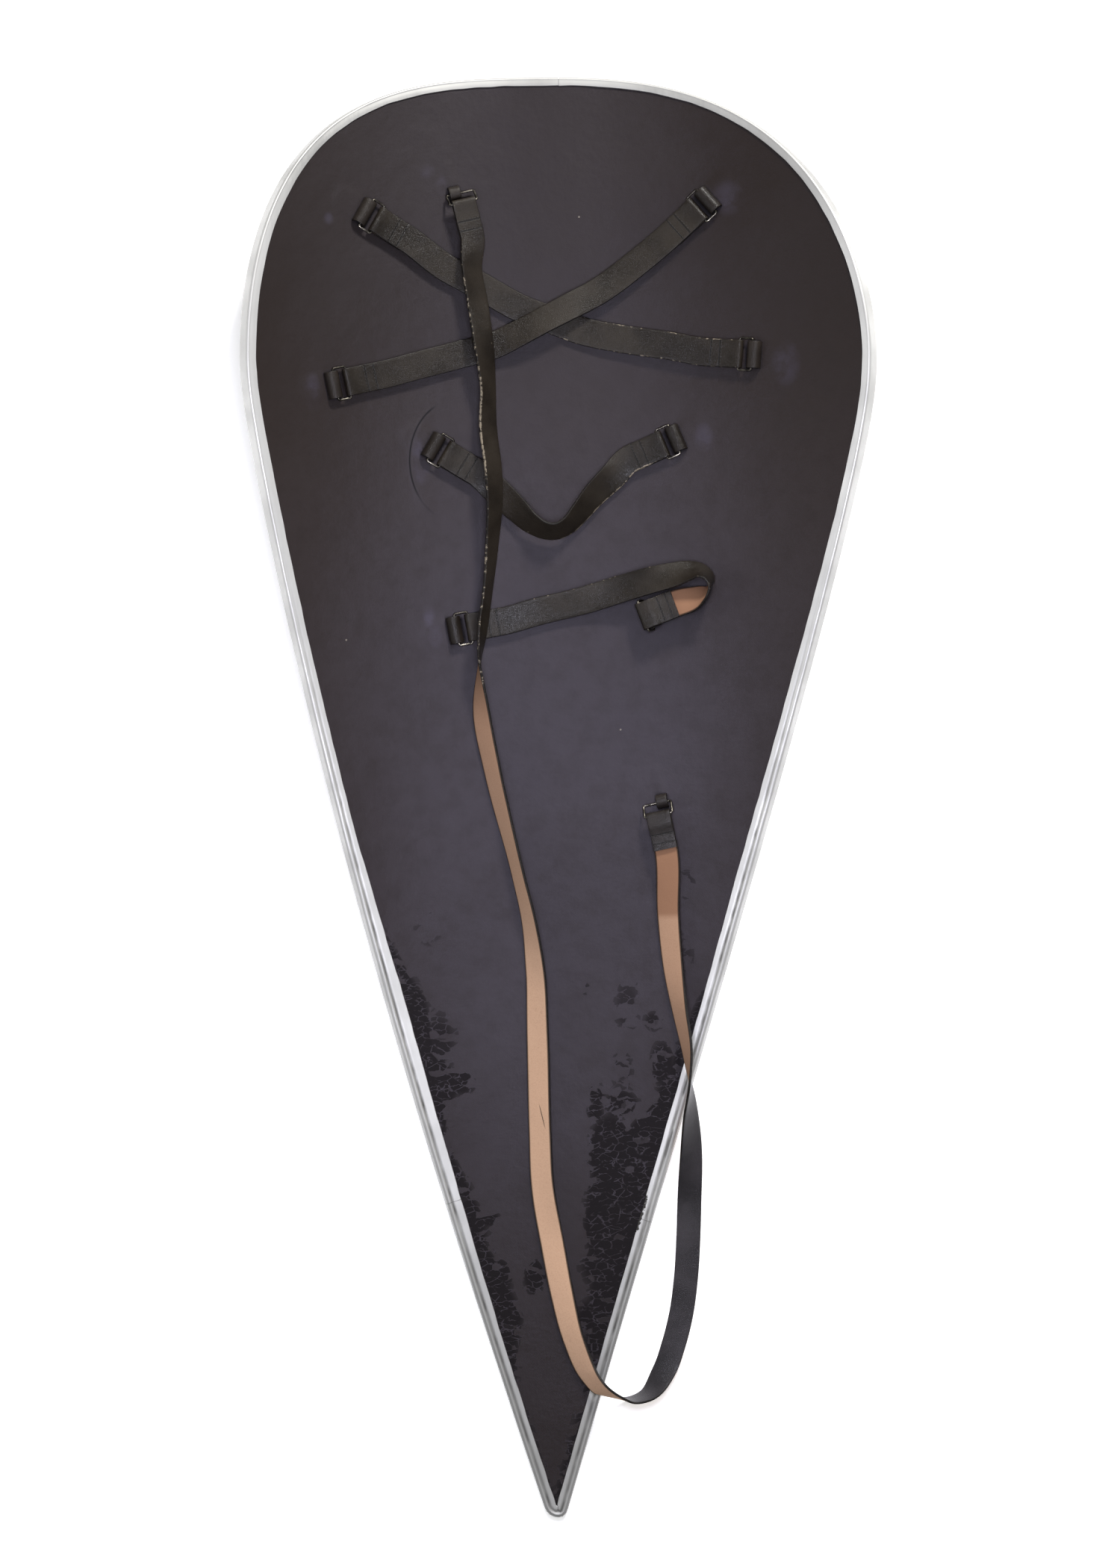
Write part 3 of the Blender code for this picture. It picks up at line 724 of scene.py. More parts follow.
@dataclass(frozen=True)
class FacingFinish:
    """Dark leather cloth over the board: a fine weave, cloudy colour, crackled fronds lower down, and painted
    light: a sheen along the middle, glints beside the keepers, and shade at the ends, at the keepers' feet and
    along a crease.
    """

    brown_black: Colour = screen(36, 29, 24)
    # The painted sheen's colour, mixed in along the middle.
    painted_sheen_grey: Colour = screen(42, 37, 40)
    # Near black for the painted shade towards the top edge and the point, and for the mottle and the weave.
    shade_and_tone_black: Colour = screen(28, 21, 15)
    frond: Colour = screen(8, 6, 6)
    gap: Colour = screen(41, 36, 40)
    # Painted bluish glint beside the keepers and by the crease.
    glint_colour: Colour = screen(78, 74, 92)
    fleck: Colour = screen(140, 132, 120)
    # Painted shade along the crease and at the keepers' feet.
    crease_shade: Colour = screen(8, 7, 7)
    sheen_tint: Colour = (0.84, 0.83, 1.0, 1.0)
    specular: float = 0.30
    roughness: tuple[float, float] = (0.39, 0.50)
    dull_roughness: float = 0.92
    low_end: tuple[float, float] = (-0.08, -0.46)
    high_end: tuple[float, float] = (0.20, 0.50)
    threads: float = 1100.0
    lobe_wide: float = 0.0105
    lobe_tall: float = 0.0050
    crease_centre: tuple[float, float] = (-0.0886, 0.2916)
    crease_radii: tuple[float, float] = (0.040, 0.0524)
    crease_half: float = 0.0013

    def fronds(self, graph: Graph, place: Socket) -> tuple:
        """Lobes in rows: cells stretched across the board, of which a share stands, as the frond mask says.

        Args:
            graph: the material's graph.
            place: the Object coordinates.

        Returns:
            The lobes' mask and the mask of the gaps between them.
        """
        frond = graph.attribute("frond")
        wander = graph.noise(place, 90.0, 3.0, 0.6)
        shift = graph.maths("MULTIPLY_ADD", wander, 0.010, -0.005)
        moved = graph.add("VectorMath", {0: place, 1: shift}, operation="ADD").outputs[0]
        cell_place = graph.stretched(moved, (1 / self.lobe_wide, 1 / self.lobe_tall, 1 / self.lobe_wide))
        settings = {"Vector": cell_place, "Scale": 1.0, "Randomness": 0.95}
        edge = graph.add("TexVoronoi", settings, feature="DISTANCE_TO_EDGE").outputs["Distance"]
        cells = graph.add("TexVoronoi", settings)
        lot = graph.add("SeparateColor", {0: cells.outputs["Color"]}).outputs[0]
        stands = graph.remap(graph.maths("SUBTRACT", frond, graph.maths("MULTIPLY", lot, 1.15)), 0.02, 0.10)
        closed = graph.remap(graph.noise(place, 130.0, 2.0), 0.48, 0.60)
        split = graph.maths("MAXIMUM", graph.remap(edge, 0.015, 0.065), closed)
        lobes = graph.maths("MULTIPLY", stands, split)
        lobes = graph.maths("MULTIPLY", lobes, graph.remap(frond, 0.2, 1.0, (0.45, 1.0)))
        gaps = graph.maths("MULTIPLY", stands, graph.maths("SUBTRACT", 1.0, split))
        return lobes, gaps

    def crease(self, graph: Graph, place: Socket) -> Socket:
        """A thin line of painted shade on the left of an ellipse: the length of (offset / radii), less one,
        close to zero.

        Args:
            graph: the material's graph.
            place: the Object coordinates.

        Returns:
            The mask, 0 to 1.
        """
        (centre_x, centre_y), (radius_x, radius_y) = self.crease_centre, self.crease_radii
        x, y, _ = graph.split(place)
        across = graph.maths("DIVIDE", graph.maths("SUBTRACT", x, centre_x), radius_x)
        along = graph.maths("DIVIDE", graph.maths("SUBTRACT", y, centre_y), radius_y)
        squares = graph.maths("MULTIPLY_ADD", across, across, graph.maths("MULTIPLY", along, along))
        off = graph.maths("ABSOLUTE", graph.maths("SUBTRACT", graph.maths("SQRT", squares), 1.0))
        line = graph.remap(off, self.crease_half / radius_x, 0.0)
        left_side = graph.maths("MULTIPLY", line, graph.remap(across, -0.35, -0.6))
        return graph.maths("MULTIPLY", left_side, graph.remap(along, -0.75, -0.35, (0.25, 0.9)))

    def build(self, effects: Effects) -> Material:
        """Make the material from the shared effects and the board's own masks.

        Args:
            effects: the shared effects.

        Returns:
            The material.
        """
        constants = {"Specular IOR Level": self.specular, "Specular Tint": self.sheen_tint, "Metallic": 0.0}
        material, graph, shader, place = start_material("facing", constants)
        clouds = graph.effect(effects.clouds, place, Scale=5.0, Detail=5.0).outputs[0]
        side, height, _ = graph.split(place)
        # Painted sheen: a lighter, purpler band along the middle of the board's length, with random clouds,
        # fading towards the rims.
        rise = graph.remap(height, 0.42, 0.05, (0.0, 0.8))
        sheen_and_clouds = graph.maths("MULTIPLY_ADD", clouds, 0.2, rise, clamp=True)
        sheen_to_rim = graph.remap(graph.maths("ABSOLUTE", side), 0.05, 0.26, (1.0, 0.35))
        base = graph.mix(graph.maths("MULTIPLY", sheen_and_clouds, sheen_to_rim), self.brown_black, self.painted_sheen_grey)
        # Painted shade: darker towards the point and towards the top edge.
        base = graph.mix(graph.remap(height, *self.low_end, (0.0, 0.95)), base, self.shade_and_tone_black)
        base = graph.mix(graph.remap(height, *self.high_end, (0.0, 0.95)), base, self.shade_and_tone_black)
        mottle = graph.noise(place, 60.0, 4.0, 0.6)
        base = graph.mix(graph.remap(mottle, 0.4, 0.7, (0.0, 0.35)), base, self.shade_and_tone_black)
        weave = graph.effect(effects.weave, place, Threads=self.threads, Breakup=0.45).outputs[0]
        base = graph.mix(graph.remap(weave, 0.35, 0.75, (0.0, 0.3)), base, self.shade_and_tone_black)
        lobes, gaps = self.fronds(graph, place)
        base = graph.mix(graph.maths("MULTIPLY", gaps, 0.65), base, self.gap)
        base = graph.mix(graph.maths("MULTIPLY", lobes, 0.76), base, self.frond)
        # Painted glints beside the keepers and by the crease, broken up by the mottle.
        smeared = graph.remap(mottle, 0.35, 0.65, (0.1, 0.8))
        base = graph.mix(graph.maths("MULTIPLY", graph.attribute("painted_glint"), smeared), base, self.glint_colour)
        # Painted shade at the keepers' feet and along the crease.
        dark = graph.maths("MAXIMUM", graph.attribute("keeper_foot_shade"), self.crease(graph, place))
        base = graph.mix(dark, base, self.crease_shade)
        flecks = graph.effect(effects.specks, place, Scale=55.0, Size=0.045, Share=0.955).outputs[0]
        base = graph.mix(graph.maths("MULTIPLY", flecks, 0.5), base, self.fleck)
        patches = graph.maths("MULTIPLY_ADD", mottle, 0.7, clouds)
        rough = graph.remap(patches, 0.35, 1.35, self.roughness)
        rough = graph.between(graph.maths("MAXIMUM", lobes, dark), rough, self.dull_roughness)
        surface = graph.maths("MULTIPLY_ADD", lobes, 0.9, weave)
        swells = graph.noise(place, 45.0, 3.0)
        normal = graph.bumps((surface, 0.7, 0.0002), (swells, 0.45, 0.0012))
        graph.feed(shader, {"Base Color": base, "Roughness": rough, "Normal": normal})
        return material


@dataclass(frozen=True)
class RimFinish:
    """Bright sheet steel, hand-bent, with faint streaks along it, a darker groove, a dirt smear and dirty pits,
    and painted shade on its outer side and towards the top edge and the point.
    """

    bright: Colour = screen(210, 210, 207)
    dull: Colour = screen(172, 172, 169)
    dirt: Colour = screen(58, 56, 53)
    metallic: float = 0.65
    low_end: tuple[float, float] = (-0.25, -0.5)
    high_end: tuple[float, float] = (0.45, 0.58)
    streak_scale: tuple[float, float, float] = (900.0, 60.0, 900.0)

    def build(self, effects: Effects) -> Material:
        """Make the material from the shared effects and the rim's own masks.

        Args:
            effects: the shared effects.

        Returns:
            The material.
        """
        material, graph, shader, place = start_material("rim_steel", {"Metallic": self.metallic})
        clouds = graph.effect(effects.clouds, place, Scale=22.0, Detail=6.0).outputs[0]
        _, height, _ = graph.split(place)
        # Painted shade: duller towards the top edge and the point.
        ends = graph.maths("MAXIMUM", graph.remap(height, *self.low_end), graph.remap(height, *self.high_end))
        base = graph.mix(graph.maths("MULTIPLY_ADD", clouds, 0.4, ends, clamp=True), self.bright, self.dull)
        pitted = graph.attribute("pitted")
        pits = graph.effect(effects.edge_wear, place, Edge=pitted, Scale=420.0, Amount=1.0).outputs[0]
        # Darker groove, dirt smear and painted shade on the outer side, from the mesh, with pits and flecks.
        darkened = graph.maths("MAXIMUM", graph.attribute("rim_darkening"), pits)
        flecks = graph.effect(effects.specks, place, Scale=110.0, Size=0.07, Share=0.94).outputs[0]
        darkened = graph.maths("MAXIMUM", darkened, graph.maths("MULTIPLY", flecks, 0.3))
        base = graph.mix(darkened, base, self.dirt)
        streaks = graph.noise(graph.stretched(place, self.streak_scale), 1.0, 3.0)
        rough = graph.remap(graph.maths("MULTIPLY_ADD", clouds, 0.5, streaks), 0.3, 1.1, (0.38, 0.52))
        rough = graph.maths("MULTIPLY_ADD", darkened, 0.3, rough)
        dents = graph.noise(place, 38.0, 2.0)
        normal = graph.bumps((dents, 0.3, 0.0007), (streaks, 0.12, 0.00006))
        graph.feed(shader, {"Base Color": base, "Roughness": rough, "Normal": normal})
        return material


@dataclass(frozen=True)
class WireFinish:
    """Bent dark steel wire with a painted highlight where its shine mask and a cloud noise are high."""

    # The painted highlight's colour.
    rubbed: Colour = screen(168, 162, 150)
    dark: Colour = screen(44, 41, 37)

    def build(self, effects: Effects) -> Material:
        """Make the material from the shared effects.

        Args:
            effects: the shared effects.

        Returns:
            The material.
        """
        material, graph, shader, place = start_material("ring_steel", {"Metallic": 1.0})
        clouds = graph.effect(effects.clouds, place, Scale=160.0, Detail=4.0).outputs[0]
        # Painted highlight, broken up by clouds.
        shine = graph.maths("MULTIPLY", graph.maths("POWER", clouds, 1.4), graph.attribute("shine"))
        base = graph.mix(shine, self.dark, self.rubbed)
        rough = graph.remap(clouds, 0.0, 1.0, (0.40, 0.22))
        normal = graph.bumps((graph.noise(place, 1400.0, 2.0), 0.25, 0.0001))
        graph.feed(shader, {"Base Color": base, "Roughness": rough, "Normal": normal})
        return material


@dataclass(frozen=True)
class StrapFinish:
    """Leather dyed black on its grain side, bare on its flesh side, with dark cut edges that wear pale, and a
    painted sheen that makes its grain lighter and greyer low down.
    """

    name: str = "strap_leather"
    grain_dark: Colour = screen(24, 20, 16)
    grain_light: Colour = screen(38, 33, 27)
    flesh_brown: Colour = screen(128, 95, 73)
    flesh_pale: Colour = screen(178, 146, 120)
    # Lighter, greyer grain for the painted sheen low down.
    hanging_sheen_dark: Colour = screen(36, 34, 36)
    hanging_sheen_light: Colour = screen(50, 47, 50)
    seam_dark: Colour = screen(9, 8, 7)
    seam_half: float = 0.0008
    scratch_place: tuple[float, float, float] = (-0.0142, -0.276, 0.012)
    scratch_size: tuple[float, float, float] = (0.0005, 0.0130, 0.05)
    scratch_turn: float = 0.245
    edge: Colour = screen(17, 15, 13)
    edge_fibre: Colour = screen(64, 52, 42)
    worn: Colour = screen(132, 122, 106)
    specular: float = 0.2
    hanging_sheen_heights: tuple[float, float] = (0.05, -0.15)
    grain_roughness: tuple[float, float] = (0.28, 0.40)
    flesh_roughness: float = 0.88

    def worn_places(self, graph: Graph, effects: Effects, place: object) -> Socket:
        """Where the dye is rubbed off: patches along the edges and small scuffs, by the mesh's own mask.

        Args:
            graph: the material's graph.
            effects: the shared effects.
            place: the Object coordinates.

        Returns:
            The mask, 0 to 1.
        """
        rubbed = graph.attribute("rubbed")
        near = graph.attribute("edge_near")
        wear = graph.effect(effects.edge_wear, place, Edge=near, Scale=300.0, Amount=rubbed).outputs[0]
        scuffs = graph.effect(effects.specks, place, Scale=190.0, Size=0.16, Share=0.93).outputs[0]
        wear = graph.maths("MAXIMUM", wear, graph.maths("MULTIPLY", scuffs, rubbed))
        return graph.maths("MULTIPLY", wear, graph.remap(rubbed, 0.02, 0.3, (0.0, 0.8)))

    def seams(self, graph: Graph) -> Socket:
        """Two lines across the strap: the distance from the ring's bar less a seam's place, close to zero.

        Args:
            graph: the material's graph.

        Returns:
            The mask, 0 to 1.
        """
        from_bar = graph.attribute("from_bar")
        offs = []
        for at in SEAM_PLACES:
            offs.append(graph.maths("ABSOLUTE", graph.maths("SUBTRACT", from_bar, at)))
        return graph.remap(graph.maths("MINIMUM", *offs), self.seam_half, self.seam_half / 3)

    def scratch(self, graph: Graph, place: Socket) -> Socket:
        """One short dark scratch: less than 1 from its middle, in a frame turned and sized to it.

        Args:
            graph: the material's graph.
            place: the Object coordinates.

        Returns:
            The mask, 0 to 1.
        """
        inputs = {
            "Vector": place,
            "Location": self.scratch_place,
            "Rotation": (0.0, 0.0, self.scratch_turn),
            "Scale": self.scratch_size,
        }
        own_frame = graph.add("Mapping", inputs, vector_type="TEXTURE").outputs[0]
        away = graph.add("VectorMath", {0: own_frame}, operation="LENGTH").outputs["Value"]
        return graph.remap(away, 1.0, 0.6, (0.0, 0.8))

    def build(self, effects: Effects) -> Material:
        """Make the material from the shared effects and the strap's own masks.

        Args:
            effects: the shared effects.

        Returns:
            The material.
        """
        constants = {"Specular IOR Level": self.specular, "Metallic": 0.0}
        material, graph, shader, place = start_material(self.name, constants)
        leaf = graph.attribute("leaf")
        clouds = graph.effect(effects.clouds, place, Scale=28.0, Detail=5.0).outputs[0]
        skin = graph.effect(effects.grain, place, Scale=1100.0, Creases=0.35)
        grain = graph.mix(clouds, self.grain_dark, self.grain_light)
        hanging_sheen = graph.mix(clouds, self.hanging_sheen_dark, self.hanging_sheen_light)
        _, height, _ = graph.split(place)
        # Painted sheen: the grain is lighter and greyer low down, towards the point and on the loop that lies
        # below it.
        grain = graph.mix(graph.remap(height, *self.hanging_sheen_heights), grain, hanging_sheen)
        grain = graph.mix(graph.maths("MULTIPLY", skin.outputs["Pores"], 0.5), grain, self.grain_dark)
        wear = self.worn_places(graph, effects, place)
        grain = graph.mix(wear, grain, self.worn)
        seam = self.seams(graph)
        grain = graph.mix(graph.maths("MULTIPLY", seam, 0.8), grain, self.seam_dark)
        fibres = graph.noise(place, 900.0, 5.0, 0.7)
        flesh = graph.mix(graph.attribute("paleness"), self.flesh_brown, self.flesh_pale)
        flesh = graph.mix(graph.remap(fibres, 0.45, 0.75, (0.0, 0.35)), flesh, self.flesh_brown)
        flesh = graph.mix(self.scratch(graph, place), flesh, self.edge)
        stains = graph.noise(place, 120.0, 3.0, 0.6)
        flesh = graph.mix(graph.remap(stains, 0.66, 0.80, (0.0, 0.3)), flesh, self.flesh_brown)
        dyed = graph.remap(graph.attribute("edge_near"), 0.55, 0.9, (0.0, 0.85))
        flesh = graph.mix(dyed, flesh, self.edge)
        cut = graph.mix(graph.remap(fibres, 0.5, 0.8), self.edge, self.edge_fibre)
        cut = graph.mix(wear, cut, self.worn)
        base = graph.mix(graph.remap(leaf, 0.25, 0.45), grain, cut)
        base = graph.mix(graph.remap(leaf, 0.55, 0.8), base, flesh)
        flesh_share = graph.remap(leaf, 0.4, 0.8)
        smooth = graph.remap(clouds, 0.0, 1.0, self.grain_roughness)
        rough = graph.between(flesh_share, smooth, self.flesh_roughness)
        skin_height = graph.maths("SUBTRACT", skin.outputs["Height"], seam)
        surface = graph.between(flesh_share, skin_height, fibres)
        creases = graph.noise(place, 70.0, 3.0)
        normal = graph.bumps((surface, 0.45, 0.00025), (creases, 0.3, 0.0012))
        graph.feed(shader, {"Base Color": base, "Roughness": rough, "Normal": normal})
        return material


@dataclass(frozen=True)
class ThreadFinish:
    """Waxed black thread, twisted."""

    light: Colour = screen(44, 41, 38)
    dark: Colour = screen(16, 15, 14)

    def build(self, effects: Effects) -> Material:
        """Make the material from the shared effects.

        Args:
            effects: the shared effects.

        Returns:
            The material.
        """
        material, graph, shader, place = start_material("stitch_thread", {"Specular IOR Level": 0.35})
        twist = graph.effect(effects.weave, place, Threads=1600.0, Breakup=0.4).outputs[0]
        base = graph.mix(twist, self.dark, self.light)
        rough = graph.remap(twist, 0.0, 1.0, (0.5, 0.7))
        normal = graph.bumps((twist, 0.6, 0.0001))
        graph.feed(shader, {"Base Color": base, "Roughness": rough, "Normal": normal})
        return material


@dataclass(frozen=True)
class Band:
    """A band of leather of even width and thickness, carried along a path.

    Its section is a rounded rectangle. Column by column it goes round the section, and row by row along
    the path: point + side × a + normal × b, where (a, b) is the section's place and normal is the path's
    direction crossed with side. The normal points out of the grain.
    """

    width: float
    thickness: float
    corner: float = 0.0007
    flat_columns: int = 9
    corner_columns: int = 3
    wave_cell: float = 0.022
    wave_seed: int = 5

    def section(self) -> tuple[Array, Array, Array]:
        """Places round the section, and which leaf each lies on: 0 grain, 0.5 cut edge, 1 flesh.

        Returns:
            How far across, how far out and the leaf, for each place.
        """
        half_w, half_t = self.width / 2, self.thickness / 2
        flat = np.linspace(-1, 1, self.flat_columns) * (half_w - self.corner)
        swing = np.linspace(math.pi / 2, -math.pi / 2, 2 * self.corner_columns + 1)[1:-1]
        round_a = half_w - self.corner + self.corner * np.cos(swing)
        round_b = (half_t - self.corner) * np.sign(np.sin(swing)) * (np.abs(np.sin(swing)) > 0.01)
        round_b = round_b + self.corner * np.sin(swing)
        across = np.concatenate([flat, round_a, flat[::-1], -round_a])
        lift = np.concatenate([np.full(flat.shape, half_t), round_b, np.full(flat.shape, -half_t), -round_b])
        edge = np.full(round_a.shape, 0.5)
        leaf = np.concatenate([np.zeros(flat.shape), edge, np.ones(flat.shape), edge])
        return across, lift, leaf

    def sweep(self, path: Array, sides: Array, waves: float) -> tuple[Array, list, dict[str, Array]]:
        """Carry the section along a path.

        Args:
            path: the band's middle line, (n, 3).
            sides: the direction of its width at each point.
            waves: how far its surface rolls in and out, in metres.

        Returns:
            Points (rows, columns, 3), faces and the numbers that the leather's material reads.
        """
        across, lift, leaf = self.section()
        tangents = unit(np.gradient(path, axis=0))
        sides = unit(sides - tangents * np.sum(sides * tangents, axis=1, keepdims=True))
        normals = np.cross(tangents, sides)
        roll = waves * value_noise(run_along(path)[:, None], across[None, :], self.wave_cell, self.wave_seed)
        points = path[:, None, :] + sides[:, None, :] * across[None, :, None]
        points = points + normals[:, None, :] * (lift[None, :] + roll)[:, :, None]
        rows, columns = points.shape[:2]
        faces = capped_faces(rows, columns)
        edge_near = ramp(np.abs(across) / (self.width / 2), 0.62, 0.98)
        values = {
            "leaf": np.broadcast_to(leaf, (rows, columns)),
            "edge_near": np.broadcast_to(edge_near, (rows, columns)),
        }
        return points, faces, values


@dataclass(frozen=True)
class Anchor:
    """A keeper and its ring: place in outline parts, heading in degrees and how the strap is folded.

    The keeper may hold the ring's bar off its middle, by keeper_shift.
    """

    name: str
    x: float
    y: float
    heading: float
    ring_tilt: float = 0.0
    flipped: bool = False
    back_over: bool = False
    keeper_shift: float = 0.0
    keeper_width: float = 0.0235
    strap_width: float = 0.024
    ring_long: float = 0.0295

    def place(self) -> Array:
        """The anchor's point on the board's back.

        Returns:
            The point, (3,).
        """
        across, along, _ = FORM.parts
        x = self.x * across
        return np.array([x, FORM.widest + self.y * along, FORM.back_height(x)])

    def axes(self) -> tuple[Array, Array, Array]:
        """Forward towards the strap, side, and the board's normal.

        A heading seen from above is longer on the slope than it looks, so its uphill share is divided by the
        slope's cosine.

        Returns:
            Three unit vectors.
        """
        slope = float(FORM.slope(self.place()[0]))
        heading = math.radians(self.heading)
        uphill = np.array([math.cos(slope), 0, math.sin(slope)]) * (math.cos(heading) / math.cos(slope))
        forward = unit(uphill + np.array([0, math.sin(heading), 0]))
        normal = np.array([-math.sin(slope), 0, math.cos(slope)])
        return forward, np.cross(normal, forward), normal

    def to_world(self, points: Array) -> Array:
        """Carry points from the anchor's own frame into the scene."""
        return self.place() + points @ np.stack(self.axes())


GUIGE_FITTING = {"keeper_width": 0.010, "strap_width": 0.021, "ring_long": 0.0265}
ANCHORS = {
    anchor.name: anchor
    for anchor in (
        Anchor("first_left", -167, 128, -32),
        Anchor("first_right", 168, 6, 175),
        Anchor("second_left", -193, -21, 14.5),
        Anchor("second_right", 129, 140, 223),
        Anchor("middle_left", -108, -72, -31),
        Anchor("middle_right", 101, -65, 204),
        Anchor("lower_left", -89, -230, 11),
        Anchor("lower_right", 79, -217, 201, 70, True, True),
        Anchor("guige_left", -86, 148, -76, 40, keeper_shift=-0.0045, **GUIGE_FITTING),
        Anchor("guige_right", 86, -380, -78, 30, flipped=True, keeper_shift=0.0045, **GUIGE_FITTING),
    )
}


@dataclass(frozen=True)
class Blotch:
    """A soft oval patch on the facing or a strap, as its box in the photograph's pixels.

    On a strap it may lie on one edge alone, the one that its side vector points to or the other.
    """

    left: float
    upper: float
    right: float
    lower: float
    strength: float = 1.0
    edge: int = 0

    def mask(self, column: Array, row: Array) -> Array:
        """1 at its middle, 0 outside: one less the squared distance in half sizes.

        Args:
            column: each place's pixel column.
            row: each place's pixel row.

        Returns:
            The patch's strength at each place.
        """
        over = (column - (self.left + self.right) / 2) / ((self.right - self.left) / 2)
        down = (row - (self.upper + self.lower) / 2) / ((self.lower - self.upper) / 2)
        return self.strength * np.clip(1.25 - (over**2 + down**2), 0, 1)


# Fern-like marks where the facing has peeled, near the point.
FRONDS = (
    Blotch(776, 1316, 793, 1332, 0.8),
    Blotch(822, 1303, 858, 1394, 0.6),
    Blotch(816, 1402, 850, 1460, 0.6),
    Blotch(861, 1352, 890, 1382, 0.8),
    Blotch(869, 1390, 906, 1460),
    Blotch(787, 1450, 812, 1484),
    Blotch(784, 1476, 810, 1502),
    Blotch(806, 1456, 858, 1500),
    Blotch(786, 1490, 850, 1600, 1.6),
    Blotch(782, 1560, 850, 1662, 1.4),
    Blotch(848, 1488, 874, 1534, 1.2),
    Blotch(774, 1658, 838, 1730),
    Blotch(769, 1736, 816, 1794),
    Blotch(553, 1215, 601, 1267, 0.3),
    Blotch(557, 1350, 614, 1450, 0.8),
    Blotch(595, 1428, 641, 1470),
    Blotch(634, 1619, 673, 1645),
    Blotch(645, 1680, 690, 1735),
    Blotch(699, 1678, 732, 1741),
    Blotch(905, 1160, 935, 1210, 0.5),
    Blotch(900, 1250, 930, 1310, 0.5),
)
# Painted bluish glints beside the keepers and by the crease.
PAINTED_GLINTS = (
    Blotch(434, 284, 446, 300, 0.25),
    Blotch(408, 500, 430, 550, 0.25),
    Blotch(1034, 456, 1072, 516, 0.2),
    Blotch(954, 242, 996, 288, 0.2),
    Blotch(930, 566, 956, 606, 0.22),
    Blotch(566, 812, 582, 842, 0.35),
    Blotch(574, 836, 592, 868, 0.25),
    Blotch(552, 584, 566, 622, 0.3),
    Blotch(554, 616, 574, 648, 0.35),
    Blotch(562, 220, 582, 240, 0.16),
    Blotch(583, 235, 598, 262, 0.16),
)
# How far a dark band reaches in from each flange, as rows and widths in the photograph's pixels.
LEFT_BAND = (
    (1150, -40), (1240, 2), (1300, 22), (1337, 36), (1410, 30), (1447, 54), (1490, 24), (1525, 8),
    (1593, 22), (1640, 28), (1667, 20), (1704, 32), (1765, 38), (1800, 20), (1850, 2),
)
RIGHT_BAND = (
    (1240, -40), (1320, 0), (1350, 8), (1400, 14), (1480, 30), (1560, 84), (1640, 74), (1700, 44),
    (1780, 30), (1850, 8),
)


